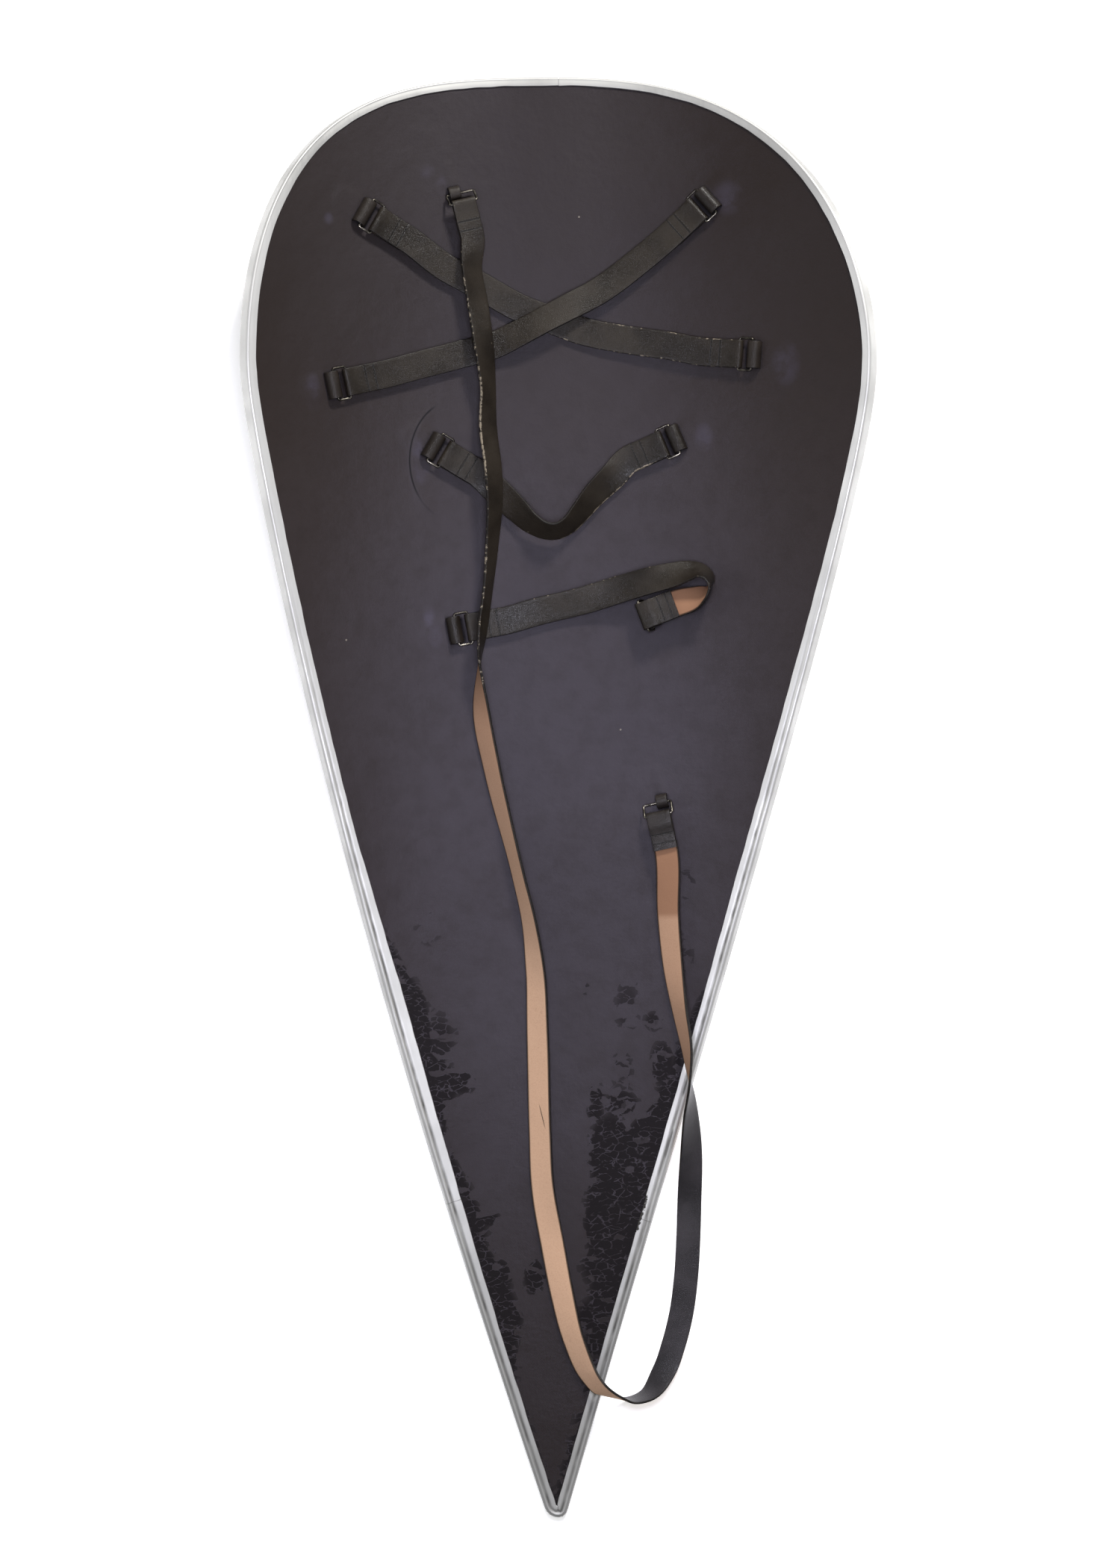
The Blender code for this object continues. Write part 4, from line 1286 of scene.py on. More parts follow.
@dataclass
class Board:
    """The curved board with its facing, raised over the keepers' tails."""

    rows: int = 400
    back_columns: int = 222
    front_columns: int = 18
    top_easing: float = 0.03
    row_crowding: float = 0.45
    tail_length: float = 0.029
    tail_height: float = 0.0004
    tail_start: float = 0.0053
    tail_rounding: float = 0.35
    tail_narrowing: float = 0.35
    leg_reach: float = 0.0058
    cloth_swell: float = 0.00022
    swell_cell: float = 0.045
    patch_ridge: float = 0.0006
    patch_centre: tuple[float, float] = (611.0, 617.0)
    patch_radii: tuple[float, float] = (62.0, 81.0)
    patch_fade: float = 14.0
    flange_pixels: float = 17.0
    band_strength: float = 1.15
    band_full: float = 14.0
    band_end: float = 8.0

    def flat_grid(self, columns: int) -> tuple[Array, Array]:
        """Flat points row by row from the top to the point, each row from the left edge to the right.

        A row's y falls from the top by an easing that starts slowly and speeds up towards the point, where
        less is raised, and u is a share of the way from the left line to the right one at that y.

        Args:
            columns: points in a row.

        Returns:
            u and y, each (rows, columns).
        """
        inset = FORM.rim_sheet + FORM.fit_gap
        share = np.linspace(0, 1, self.rows)
        share = share * (1 - self.row_crowding) + self.row_crowding * share**2
        fall = np.sqrt(share**2 + self.top_easing**2) - self.top_easing
        fall = fall / fall[-1]
        high, low = FORM.top - inset, OUTLINE.nose_level(inset)
        along = high - fall * (high - low)
        left = OUTLINE.reach(OUTLINE.left, along, inset)
        right = OUTLINE.reach(OUTLINE.right, along, inset)
        left[[0, -1]] = right[[0, -1]] = 0
        over = np.linspace(0, 1, columns)
        across = -left[:, None] * (1 - over) + right[:, None] * over
        return across, np.broadcast_to(along[:, None], across.shape)

    def tails(self, points: Array) -> tuple[Array, Array]:
        """Where the keepers' tails lift the facing, and how close each place is to a keeper's legs, where shade
        is painted at the keepers' feet.

        A tail starts behind its keeper, narrows to a rounded end and falls off softly at its sides.

        Args:
            points: places on the board's back, (..., 3).

        Returns:
            The lift, 0 to 1, and the closeness, 0 to 1, which masks the painted shade, at each place.
        """
        lifted = np.zeros(points.shape[:-1])
        keeper_foot_shade = np.zeros(points.shape[:-1])
        for anchor in ANCHORS.values():
            forward, side, _ = anchor.axes()
            offset = points - anchor.place()
            ahead, beside = offset @ forward, np.abs(offset @ side - anchor.keeper_shift)
            half = anchor.keeper_width / 2 - 0.001
            behind = -ahead - self.tail_start
            rounded = self.tail_length - self.tail_rounding * beside**2 / half
            length = ramp(behind, -0.001, 0.003) * (1 - ramp(behind - rounded, -0.0075, 0.0))
            taper = 1 - self.tail_narrowing * np.clip(behind / self.tail_length, 0, 1)
            lifted = np.maximum(lifted, length * taper * (1 - ramp(beside, half - 0.003, half + 0.0035)))
            near = 1 - ramp(np.abs(ahead), self.leg_reach, self.leg_reach + 0.003)
            keeper_foot_shade = np.maximum(keeper_foot_shade, near * (1 - ramp(beside, half - 0.001, half + 0.003)))
        return lifted, keeper_foot_shade

    def patch(self, column: Array, row: Array) -> Array:
        """A low ridge along part of an oval, steep outside, left of the middle strap's left keeper.

        Args:
            column: each place's pixel column.
            row: each place's pixel row.

        Returns:
            The ridge, 0 to 1, at each place.
        """
        (centre_x, centre_y), (radius_x, radius_y) = self.patch_centre, self.patch_radii
        across, down = (column - centre_x) / radius_x, (row - centre_y) / radius_y
        off = (np.hypot(across, down) - 1) * radius_x
        inner_slope = np.exp(np.minimum(off, 0) / self.patch_fade)
        return ramp(off, 3.0, -2.0) * inner_slope * ramp(-across, 0.3, 0.75)

    def peeled(self, column: Array, row: Array) -> Array:
        """How strongly the facing has peeled: the most of all blotches and of the band along each rim.

        Args:
            column: each place's pixel column.
            row: each place's pixel row.

        Returns:
            The strength at each place.
        """
        most = np.max([blotch.mask(column, row) for blotch in FRONDS], axis=0)
        for band, off in ((LEFT_BAND, column - column[:, :1]), (RIGHT_BAND, column[:, -1:] - column)):
            reach = np.interp(row, *zip(*band)) + self.flange_pixels
            fade = ramp(off, reach - self.band_full, reach + self.band_end)
            most = np.maximum(most, self.band_strength - fade * self.band_strength)
        return most

    def build(self, material: Material) -> Piece:
        """Make the board: a fine back, a coarser front and a wall between their edges.

        Args:
            material: the facing.

        Returns:
            The board.
        """
        across, along = self.flat_grid(self.back_columns)
        half = FORM.thickness / 2
        level = FORM.bend(across, along, np.full(across.shape, half))
        column, row = VIEW.pixels(level)
        lifted, keeper_foot_shade = self.tails(level)
        swell = self.cloth_swell * value_noise(across, along, self.swell_cell, 3)
        ridge = self.patch_ridge * self.patch(column, row)
        relief = lifted * self.tail_height + swell * (1 - keeper_foot_shade) + ridge
        back = FORM.bend(across, along, half + relief)
        frond = self.peeled(column, row)
        # Where glints are painted on the facing.
        painted_glint = np.max([blotch.mask(column, row) for blotch in PAINTED_GLINTS], axis=0)
        front_u, front_y = self.flat_grid(self.front_columns)
        front = FORM.bend(front_u, front_y, np.full(front_u.shape, -half))
        points = np.concatenate([back.reshape(-1, 3), front.reshape(-1, 3)])
        start = back.shape[0] * back.shape[1]
        faces = grid_faces(self.rows, self.back_columns)
        faces += grid_faces(self.rows, self.front_columns, start)
        row_start = np.arange(self.rows)
        for place, front_place in ((0, 0), (self.back_columns - 1, self.front_columns - 1)):
            upper = row_start * self.back_columns + place
            lower = start + row_start * self.front_columns + front_place
            faces += np.stack([upper[:-1], upper[1:], lower[1:], lower[:-1]], axis=-1).tolist()
        for end in (0, self.rows - 1):
            ends = [end * self.back_columns, end * self.back_columns + 1]
            ends += [start + end * self.front_columns + 1, start + end * self.front_columns]
            faces.append(ends)
        blank = np.zeros(front_u.size)
        masks = {"frond": frond, "painted_glint": painted_glint, "keeper_foot_shade": keeper_foot_shade}
        values = {key: np.concatenate([mask.ravel(), blank]) for key, mask in masks.items()}
        board = make_object("board_with_facing", points, faces, material, values)
        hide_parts("board")
        return board


@dataclass
class Rim:
    """Three channels of sheet steel that meet at the top and at one joint on each flank."""

    step: float = 0.004
    groove_inset: float = 0.0050
    groove_half: float = 0.0013
    groove_depth: float = 0.0006
    bead_offset: float = 0.0024
    bead_half: float = 0.0013
    bead_height: float = 0.0003
    lip_wander: float = 0.0003
    dent: float = 0.00016
    roll_inset: float = 0.0065
    smear_offset: float = 0.0010
    smear_half: float = 0.0017
    outer_shade: float = 0.26
    pit_reach: float = 0.006
    groove_rows: tuple[float, float] = (650.0, 1280.0)
    smear_rows: tuple[float, float, float, float] = (1350, 1450, 1640, 1700)
    pit_rows: tuple[float, float, float, float] = (1585, 1605, 1645, 1665)

    def section(self) -> Array:
        """The channel's cross-section from the back lip round to the front lip and back inside.

        Each place is a share of the flange's width, a fixed inset, a depth and 1 on the back flange.

        Returns:
            The places, (n, 4).
        """
        half, corner, inner = FORM.rim_half, FORM.rim_corner, FORM.rim_half - FORM.rim_sheet
        flange = [(share, corner * (1 - share), half, 1.0) for share in np.linspace(1, 0, 22)[1:]]
        swing = np.linspace(math.pi / 2, 0, 7)[1:]
        turn = [(0.0, corner * (1 - math.cos(a)), half - corner * (1 - math.sin(a)), 0.0) for a in swing]
        wall = [(0.0, 0.0, depth, 0.0) for depth in np.linspace(half - corner, corner - half, 5)[1:-1]]
        front_turn = [(share, inset, -depth, 0.0) for share, inset, depth, _ in reversed(turn)]
        front = [(share, corner * (1 - share), -half, 0.0) for share in np.linspace(0, 1, 5)]
        lip = [(1.0, 0.0, half - 0.0003, 1.0)]
        start = [(1.0, -0.0003, half, 1.0)]
        front_lip = [(1.0, 0.0, -inner, 0.0)]
        inside = [(0.0, FORM.rim_sheet, depth, 0.0) for depth in (-inner, inner)] + [(1.0, 0.0, inner, 1.0)]
        return np.array(lip + start + flange + turn + wall + front_turn + front + front_lip + inside)

    @staticmethod
    def stretch(row: Array, rows: tuple[float, float, float, float]) -> Array:
        """1 between the two middle pixel rows, falling to 0 at the outer two."""
        return ramp(row, *rows[:2]) * (1 - ramp(row, *rows[2:]))

    def bell(self, inset: Array, offset: float, half: float) -> Array:
        """A bell across the flange: e to the minus square of its distance from its middle over its half."""
        return np.exp(-(((inset - self.groove_inset + offset) / half) ** 2))

    def dirt(self, side: int, at: Array, inset: Array, row: Array, grown: Array) -> Array:
        """How dark the channel is painted: darker in its groove, a dirt smear low on the right, and painted
        shade on its outer side.

        Args:
            side: -1 on the left, 1 on the right.
            at: stations along the side.
            inset: each place's distance inside the edge, (stations, places).
            row: each station's pixel row.
            grown: how full the groove is at each station, (stations, 1).

        Returns:
            The dirt on the flange and the outer side, (stations, places).
        """
        groove = self.bell(inset, 0.0, self.groove_half)
        smeared = self.stretch(row, self.smear_rows) * (side > 0)
        smeared = smeared * ramp(value_noise(at, 0 * at, 0.011, 31), -0.3, 0.5)
        smear = self.bell(inset, self.smear_offset, self.smear_half) * smeared[:, None]
        patchy = 0.8 + 0.35 * value_noise(at[:, None], inset, 0.008, 47 + side)
        on_flange = self.section()[:, 3]
        rim_darkening = np.maximum(0.85 * grown * groove * patchy, 0.8 * smear) * on_flange[None, :]
        # Painted shade on the channel's outer side.
        outer_side = (1 - ramp(inset, 0.0020, 0.0038)) * (0.4 + 0.6 * grown)
        return np.maximum(rim_darkening, self.outer_shade * outer_side)

    def rows(self, half: HalfOutline, at: Array, width: Array) -> tuple[Array, Array, Array]:
        """Bent points of the channel, one row a station, with their darkening and pits.

        The flange carries a groove and a bead, which grow towards the point, and shallow dents. Further up
        its outer corner is rolled over instead.

        Args:
            half: the side.
            at: stations along it.
            width: the flange's width at each.

        Returns:
            Points (stations, places, 3), darkening, which holds painted shade on the outer side, and pits
            (stations, places).
        """
        side = half.flank.sign
        share, fixed, depth, is_flange = self.section().T
        width = (width + self.lip_wander * value_noise(at, 0 * at, 0.012, 21 + side))[:, None]
        inset = share[None, :] * width + fixed[None, :]
        middle = FORM.bend(*OUTLINE.inside(half, at, np.full(at.shape, self.groove_inset)), 0.0)
        _, row = VIEW.pixels(middle)
        grown = ramp(row, *self.groove_rows)[:, None]
        groove = self.bell(inset, 0.0, self.groove_half)
        bead = self.bell(inset, self.bead_offset, self.bead_half)
        shape = grown * (self.bead_height * bead - self.groove_depth * groove) * is_flange[None, :]
        shape = shape * ramp(inset, 0.0012, 0.0026)
        dents = self.dent * value_noise(at[:, None], inset, 0.019, 8 + side)
        dents = dents * np.where(np.abs(depth) > FORM.rim_half - 0.0002, 1, 0)[None, :]
        dents = dents * ramp(inset, 0.0010, 0.0030)
        rolled = FORM.rim_corner * 0.5 * (1 - grown) * ramp(inset, self.roll_inset, 0.0) * is_flange[None, :]
        rolled = rolled * ramp(inset, 0.0, 0.0024)
        outer = np.broadcast_to(depth, inset.shape) + np.sign(depth)[None, :] * dents + shape - rolled * 0.35
        columns = []
        for place in range(len(share)):
            across, along = OUTLINE.inside(half, at, inset[:, place])
            columns.append(FORM.bend(across, along, outer[:, place]))
        rim_darkening = self.dirt(side, at, inset, row, grown)
        pits = self.stretch(row, self.pit_rows)[:, None]
        pits = pits * (1 - ramp(width - inset, 0.0, self.pit_reach)) * is_flange[None, :] * (side > 0)
        return np.stack(columns, axis=1), rim_darkening, np.broadcast_to(pits, inset.shape)

    def channel(self, name: str, parts: list, material: Material) -> Piece:
        """Close one channel's rows into a solid that stands for its node.

        Args:
            name: the node's name.
            parts: points, darkening and pits of each stretch.
            material: the rim's steel.

        Returns:
            The channel.
        """
        points = np.concatenate([part[0] for part in parts])
        rows, columns = points.shape[:2]
        faces = capped_faces(rows, columns)
        values = {
            "rim_darkening": np.concatenate([part[1] for part in parts]),
            "pitted": np.concatenate([part[2] for part in parts]),
        }
        piece = make_object(name + "_channel", points, faces, material, values)
        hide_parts(name)
        return piece

    def build(self, material: Material) -> list[Piece]:
        """Make the two long channels and the one over the point.

        Args:
            material: the rim's steel.

        Returns:
            The three channels.
        """
        half_gap = FORM.fit_gap / 2
        pieces = []
        for name, half in (("rim_left", OUTLINE.left), ("rim_right", OUTLINE.right)):
            end = half.joint - half_gap
            at = np.linspace(half_gap, end, math.ceil(end / self.step))
            pieces.append(self.channel(name, [self.rows(half, at, half.rim_width(at))], material))
        sides = []
        for half in (OUTLINE.left, OUTLINE.right):
            start, end = half.joint + half_gap, half.run[-1]
            at = np.linspace(start, end, math.ceil((end - start) / self.step))
            sides.append(self.rows(half, at, half.rim_width(at)))
        turned = tuple(part[::-1][1:] for part in sides[1])
        pieces.append(self.channel("rim_tip", [sides[0], turned], material))
        return pieces


@dataclass
class KeepersAndRings:
    """The short leather loops on the board and the bent wire rings that they hold."""

    leather: float = 0.002
    wire: float = 0.002
    ring_pitch: float = 0.012
    ring_corner: float = 0.0018
    ring_lift: float = 0.0045
    leg_reach: float = 0.0066
    sunk: float = 0.0004
    keeper_corner: float = 0.0047
    keeper_edge: float = 0.0006
    keeper_waves: float = 0.00012
    wire_columns: int = 12
    shine_rows: float = 14.0

    def keeper_path(self, shift: float) -> Array:
        """The keeper's middle line from one foot over the ring's bar to the other, in its anchor's frame.

        Args:
            shift: how far the keeper is off the ring's middle.

        Returns:
            Points, (n, 3).
        """
        top = FORM.keeper_top - self.leather / 2
        near = self.leg_reach / 2 + self.leather / 2
        far = -near - self.leather
        corner = self.keeper_corner
        far_leg = np.stack([np.full(5, far), np.linspace(-self.sunk, top - corner, 5)], axis=1)
        near_leg = np.stack([np.full(5, near), np.linspace(top - corner, -self.sunk, 5)], axis=1)[1:]

        def bent(centre: float, start: float, end: float) -> Array:
            """A quarter circle from one angle to another."""
            swing = np.linspace(start, end, 7)
            return np.stack([centre + corner * np.cos(swing), top - corner + corner * np.sin(swing)], axis=1)

        first = bent(far + corner, math.pi, math.pi / 2)[1:]
        second = bent(near - corner, math.pi / 2, 0)
        flat = np.concatenate([far_leg, first, second, near_leg])
        return np.stack([flat[:, 0], np.full(len(flat), shift), flat[:, 1]], axis=1)

    def build_keeper(self, anchor: Anchor, material: Material) -> Piece:
        """Make one keeper.

        Args:
            anchor: where it is.
            material: its leather.

        Returns:
            The keeper.
        """
        band = Band(anchor.keeper_width, self.leather, corner=self.keeper_edge)
        path = anchor.to_world(self.keeper_path(anchor.keeper_shift))
        sides = np.broadcast_to(anchor.axes()[1], path.shape)
        points, faces, values = band.sweep(path, sides, self.keeper_waves)
        values["paleness"] = values["rubbed"] = values["from_bar"] = np.zeros(points.shape[:2])
        keeper = make_object(f"keeper_{anchor.name}_loop", points, faces, material, values)
        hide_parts("keeper_" + anchor.name)
        return keeper

    def ring_path(self, ring_long: float) -> Array:
        """A rounded rectangle, one long bar on the Y axis and the other a pitch away in X.

        Args:
            ring_long: the ring's outer length.

        Returns:
            Points, (n, 3).
        """
        half_x, half_y = self.ring_pitch / 2, (ring_long - self.wire) / 2
        points = []
        for side_x, side_y, start in ((1, 1, 0), (-1, 1, 90), (-1, -1, 180), (1, -1, 270)):
            swing = np.radians(np.linspace(start, start + 90, 8))
            x = side_x * (half_x - self.ring_corner) + self.ring_corner * np.cos(swing) + half_x
            y = side_y * (half_y - self.ring_corner) + self.ring_corner * np.sin(swing)
            points.append(np.stack([x, y, np.zeros(8)], axis=1))
        return np.concatenate(points)

    def build_ring(self, anchor: Anchor, material: Material) -> Piece:
        """Make one ring: a round wire round the path, point + radius × (out × cos + up × sin).

        Args:
            anchor: where it is.
            material: its steel.

        Returns:
            The ring.
        """
        path = self.ring_path(anchor.ring_long)
        ahead = unit(np.roll(path, -1, axis=0) - np.roll(path, 1, axis=0))
        out = np.cross(ahead, (0.0, 0.0, 1.0))
        swing = np.linspace(0, 2 * math.pi, self.wire_columns + 1)[:-1]
        tube = path[:, None, :] + self.wire / 2 * out[:, None, :] * np.cos(swing)[None, :, None]
        tube[:, :, 2] += self.wire / 2 * np.sin(swing)[None, :]
        tilt = math.radians(anchor.ring_tilt)
        cos_tilt, sin_tilt = math.cos(tilt), math.sin(tilt)
        turn = np.array([[cos_tilt, 0, sin_tilt], [0, 1, 0], [-sin_tilt, 0, cos_tilt]])
        local = tube @ turn + (0.0, 0.0, self.ring_lift)
        faces = grid_faces(len(path), len(swing), closed=True, looped=True)
        points = anchor.to_world(local)
        _, row = VIEW.pixels(points)
        middle = float(np.mean(row))
        # Painted highlight: lighter towards each ring's lower end in the top view, and lighter all over on the
        # tilted guige rings.
        least = 0.8 if anchor.ring_tilt else 0.25
        shine = {"shine": np.maximum(ramp(row, middle, middle + self.shine_rows), least)}
        ring = make_object(f"ring_{anchor.name}_wire", points, faces, material, shine)
        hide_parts("ring_" + anchor.name)
        return ring


@dataclass
class Strap:
    """A leather strap: a fold on its first ring, a route, and a fold on its second ring.

    A layer's pairs are shares of the fold's length and parts of the way out to the bar.
    """

    name: str
    start: Anchor
    end: Anchor
    route: list[tuple[float, float, float, float, bool]]
    rubbed: tuple[Blotch, ...] = ()
    thickness: float = 0.0022
    fold_length: float = 0.030
    step: float = 0.0028
    fold_layers: tuple = ((1, 0), (0.7, 0), (0.42, 0), (0.28, 0.13), (0.15, 0.5))
    rolled_layers: tuple = ((1, 0), (0.58, 0), (0.48, 0.3), (0.30, 1.9), (0.14, 1.6))
    waves: float = 0.00018
    side_smoothing: int = 4
    stitch_count: int = 8
    stitch_margin: float = 0.0025
    stitch_size: tuple[float, float, float] = (0.0011, 0.00042, 0.00035)
    pale_rows: tuple[float, float] = (650, 1350)
    rising_columns: tuple[float, float] = (800, 830)
    rising_rows: tuple[float, float] = (1500, 1600)
    rising_pale_rows: tuple[float, float] = (1222, 1232)
    rising_paleness: float = 0.55
    path: Array = field(init=False)
    sides: Array = field(init=False)
    bars: tuple[float, float] = field(init=False)

    def layer(self, places: tuple, together: float, wrap: float) -> Array:
        """One of a fold's two layers, beside the bar's plane.

        Args:
            places: for each place, its share of the fold's length and its part of the way out to the bar.
            together: how far from the plane the layer lies where the two touch.
            wrap: how far from the plane it lies at the bar.

        Returns:
            (share × fold length, −(together + part × (wrap − together))) for each place.
        """
        share, part = np.array(places, float).T
        return np.stack([share * self.fold_length, -together - part * (wrap - together)], axis=1)

    def fold(self, anchor: Anchor, kit: KeepersAndRings) -> Array:
        """The strap's end, from its cut edge round the ring's bar to where it leaves for the other side.

        Two flat layers lie either side of the bar's plane, and a half circle round the bar joins them. The
        fold rises as the board does, by the square of the distance over twice the bend radius. Where the
        strap is turned over, its end layer bulges up into a roll beside the bar.

        Args:
            anchor: the fold's keeper and ring.
            kit: the ring's sizes.

        Returns:
            World points of the middle line.
        """
        forward, _, normal = anchor.axes()
        tilt = math.radians(anchor.ring_tilt)
        bar = anchor.place() + forward * kit.ring_pitch * math.cos(tilt)
        bar = bar + normal * (kit.ring_lift + kit.ring_pitch * math.sin(tilt))
        away = -forward if anchor.back_over else forward
        wrap = kit.wire / 2 + FORM.fit_gap + self.thickness / 2
        together = (self.thickness + FORM.fit_gap) / 2
        layer = self.layer(self.fold_layers, together, wrap)
        end_layer = self.layer(self.rolled_layers, together, wrap) if anchor.flipped else layer
        turn = np.radians(np.arange(-90, -271, -15))
        round_bar = wrap * np.stack([np.cos(turn), np.sin(turn)], axis=1)
        profile = np.concatenate([end_layer, round_bar, layer[::-1] * (1, -1)])
        flip = -1 if anchor.flipped else 1
        slope = float(FORM.slope(anchor.place()[0]))
        uphill = forward @ np.array([math.cos(slope), 0, math.sin(slope)])
        points = bar + profile[:, :1] * away + profile[:, 1:] * normal * flip
        out = (points - anchor.place()) @ forward * uphill
        rise = np.where(profile[:, 0] > 0, out**2 / (2 * FORM.bend_radius), 0)
        return points + rise[:, None] * normal

    def lay(self, kit: KeepersAndRings) -> None:
        """Work out the strap's middle line, its side vectors and where its two ring bars are.

        Between given points the line is a cubic Hermite curve. A side vector is the flat side, the
        board's normal crossed with the direction, turned about the direction by the roll.

        Args:
            kit: the sizes of rings and keepers.
        """
        opening, closing = self.fold(self.start, kit), self.fold(self.end, kit)[::-1]
        across, along, lift = FORM.parts
        given = [(*point, 0.0, FORM.slope(self.start.place()[0])) for point in opening]
        for x, y, z, roll, on_floor in self.route:
            place = x * across
            base = 0.0 if on_floor else float(FORM.back_height(place))
            slope = 0.0 if on_floor else float(FORM.slope(place))
            given.append((place, FORM.widest + y * along, base + z * lift, math.radians(roll), slope))
        last_roll = math.copysign(math.pi, self.route[-1][3]) if self.end.flipped else 0.0
        given += [(*point, last_roll, FORM.slope(self.end.place()[0])) for point in closing]
        line = self.smooth(np.array(given, float))
        points = line[:, :3]
        first = int(np.argmin(np.linalg.norm(points - opening[-1], axis=1)))
        last = int(np.argmin(np.linalg.norm(points - closing[0], axis=1)))
        tangents = unit(np.gradient(points, axis=0))
        normal = np.stack([-np.sin(line[:, 4]), 0 * line[:, 4], np.cos(line[:, 4])], axis=1)
        flat_side = unit(np.cross(normal, tangents))
        up = np.cross(tangents, flat_side)
        sides = np.cos(line[:, 3:4]) * flat_side - np.sin(line[:, 3:4]) * up
        arriving = 1 if self.end.flipped ^ self.end.back_over else -1
        sides[: first + 1] = self.start.axes()[1]
        sides[last:] = self.end.axes()[1] * arriving
        reach = self.side_smoothing
        window = np.ones(2 * reach + 1)
        smooth = np.stack([np.convolve(part, window, "same") for part in sides.T], axis=1)
        sides[first - reach : last + reach] = unit(smooth)[first - reach : last + reach]
        run = run_along(points)
        middle_open = opening[len(opening) // 2]
        middle_close = closing[len(closing) // 2]
        open_at = int(np.argmin(np.linalg.norm(points[: first + 1] - middle_open, axis=1)))
        close_at = last + int(np.argmin(np.linalg.norm(points[last:] - middle_close, axis=1)))
        self.path, self.sides = points, sides
        self.bars = (float(run[open_at]), float(run[close_at]))

    def smooth(self, given: Array) -> Array:
        """A cubic Hermite curve through the points, read off at steps of about one strap step.

        Args:
            given: the points, each with its roll and the board's slope, (n, 5).

        Returns:
            The same five numbers along the curve.
        """
        gaps = np.linalg.norm(np.diff(given[:, :3], axis=0), axis=1)
        at = np.concatenate([[0], np.cumsum(gaps)])
        slopes = np.gradient(given, at, axis=0)
        parts = np.maximum(1, np.round(gaps / self.step)).astype(int)
        piece = np.repeat(np.arange(len(gaps)), parts)
        starts = np.repeat(np.cumsum(parts) - parts, parts)
        share = ((np.arange(len(piece)) - starts) / parts[piece])[:, None]
        gap = gaps[piece][:, None]
        start = (1 + 2 * share) * (1 - share) ** 2 * given[piece]
        end = share**2 * (3 - 2 * share) * given[piece + 1]
        leave = share * (1 - share) ** 2 * gap * slopes[piece]
        arrive = share**2 * (share - 1) * gap * slopes[piece + 1]
        return np.concatenate([start + end + leave + arrive, given[-1:]])

    @property
    def length(self) -> float:
        """The middle line's length."""
        return float(np.linalg.norm(np.diff(self.path, axis=0), axis=1).sum())

    def from_bar(self) -> Array:
        """How far each place of the path is from the nearer ring's bar, on the side that shows.

        The distance is run − bar at the first ring and bar − run at the second, and the other way round
        where the fold is turned over.

        Returns:
            The distance at each point of the path.
        """
        run = run_along(self.path)
        first = (run - self.bars[0]) * (-1 if self.start.flipped else 1)
        second = (self.bars[1] - run) * (-1 if self.end.flipped else 1)
        return np.where(run < run[-1] / 2, first, second)

    def build(self, material: Material) -> Piece:
        """Make the strap's band.

        Args:
            material: the leather.

        Returns:
            The strap.
        """
        band = Band(self.start.strap_width, self.thickness)
        points, faces, values = band.sweep(self.path, self.sides, self.waves)
        beside = band.section()[0] / (band.width / 2)
        column, row = VIEW.pixels(points)
        rising = ramp(column, *self.rising_columns) * (1 - ramp(row, *self.rising_rows))
        rising_pale = self.rising_paleness * ramp(row, *self.rising_pale_rows)
        values["paleness"] = ramp(row, *self.pale_rows) * (1 - rising) + rising_pale * rising
        rubbed = [0 * row]
        for patch in self.rubbed:
            on_edge = ramp(patch.edge * beside, 0.2, 0.8)[None, :] if patch.edge else 1.0
            rubbed.append(patch.mask(column, row) * on_edge)
        values["rubbed"] = np.max(rubbed, axis=0)
        values["from_bar"] = np.broadcast_to(self.from_bar()[:, None], row.shape)
        strap = make_object(self.name + "_leather", points, faces, material, values)
        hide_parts(self.name)
        return strap

    def stitches(self, material: Material) -> Piece:
        """Two short rows of stitches across each fold, as one piece.

        A stitch is a capsule: place + across × a + along × b + normal × c over a small ball's surface.

        Args:
            material: the thread.

        Returns:
            The stitches.
        """
        run = run_along(self.path)
        tangents = unit(np.gradient(self.path, axis=0))
        places = []
        half_row = self.start.strap_width / 2 - self.stitch_margin
        offsets = np.linspace(-1, 1, self.stitch_count) * half_row
        for bar, anchor, way in ((self.bars[0], self.start, 1), (self.bars[1], self.end, -1)):
            towards = -way if anchor.flipped else way
            for distance in SEAM_PLACES:
                index = int(np.argmin(np.abs(run - bar - towards * distance)))
                side = self.sides[index]
                normal = np.cross(tangents[index], side)
                centre = self.path[index] + normal * self.thickness / 2
                places += [(centre + side * offset, side, tangents[index], normal) for offset in offsets]
        around = np.linspace(0, 2 * math.pi, 7)[:-1]
        lengthwise = np.linspace(0.12, math.pi - 0.12, 5)[:, None]
        rings, columns = len(lengthwise), len(around)
        long_part = np.broadcast_to(np.cos(lengthwise), (rings, columns))
        wide_part = np.sin(lengthwise) * np.cos(around)
        high_part = np.sin(lengthwise) * np.sin(around)
        ball = (np.stack([long_part, wide_part, high_part], axis=-1) * self.stitch_size).reshape(-1, 3)
        points, faces = [], []
        for number, (place, side, tangent, normal) in enumerate(places):
            points.append(place + ball @ np.stack([side, tangent, normal]))
            start = number * len(ball)
            faces += [[start + corner for corner in face] for face in capped_faces(rings, columns)]
        piece = make_object(self.name + "_stitches", np.concatenate(points), faces, material)
        return piece


def on_back(*places: tuple[float, float, float, float]) -> list:
    """Route places whose lift is above the board's back."""
    return [(*place, False) for place in places]


def on_floor(*places: tuple[float, float, float, float]) -> list:
    """Route places whose lift is the height above the floor."""
    return [(*place, True) for place in places]


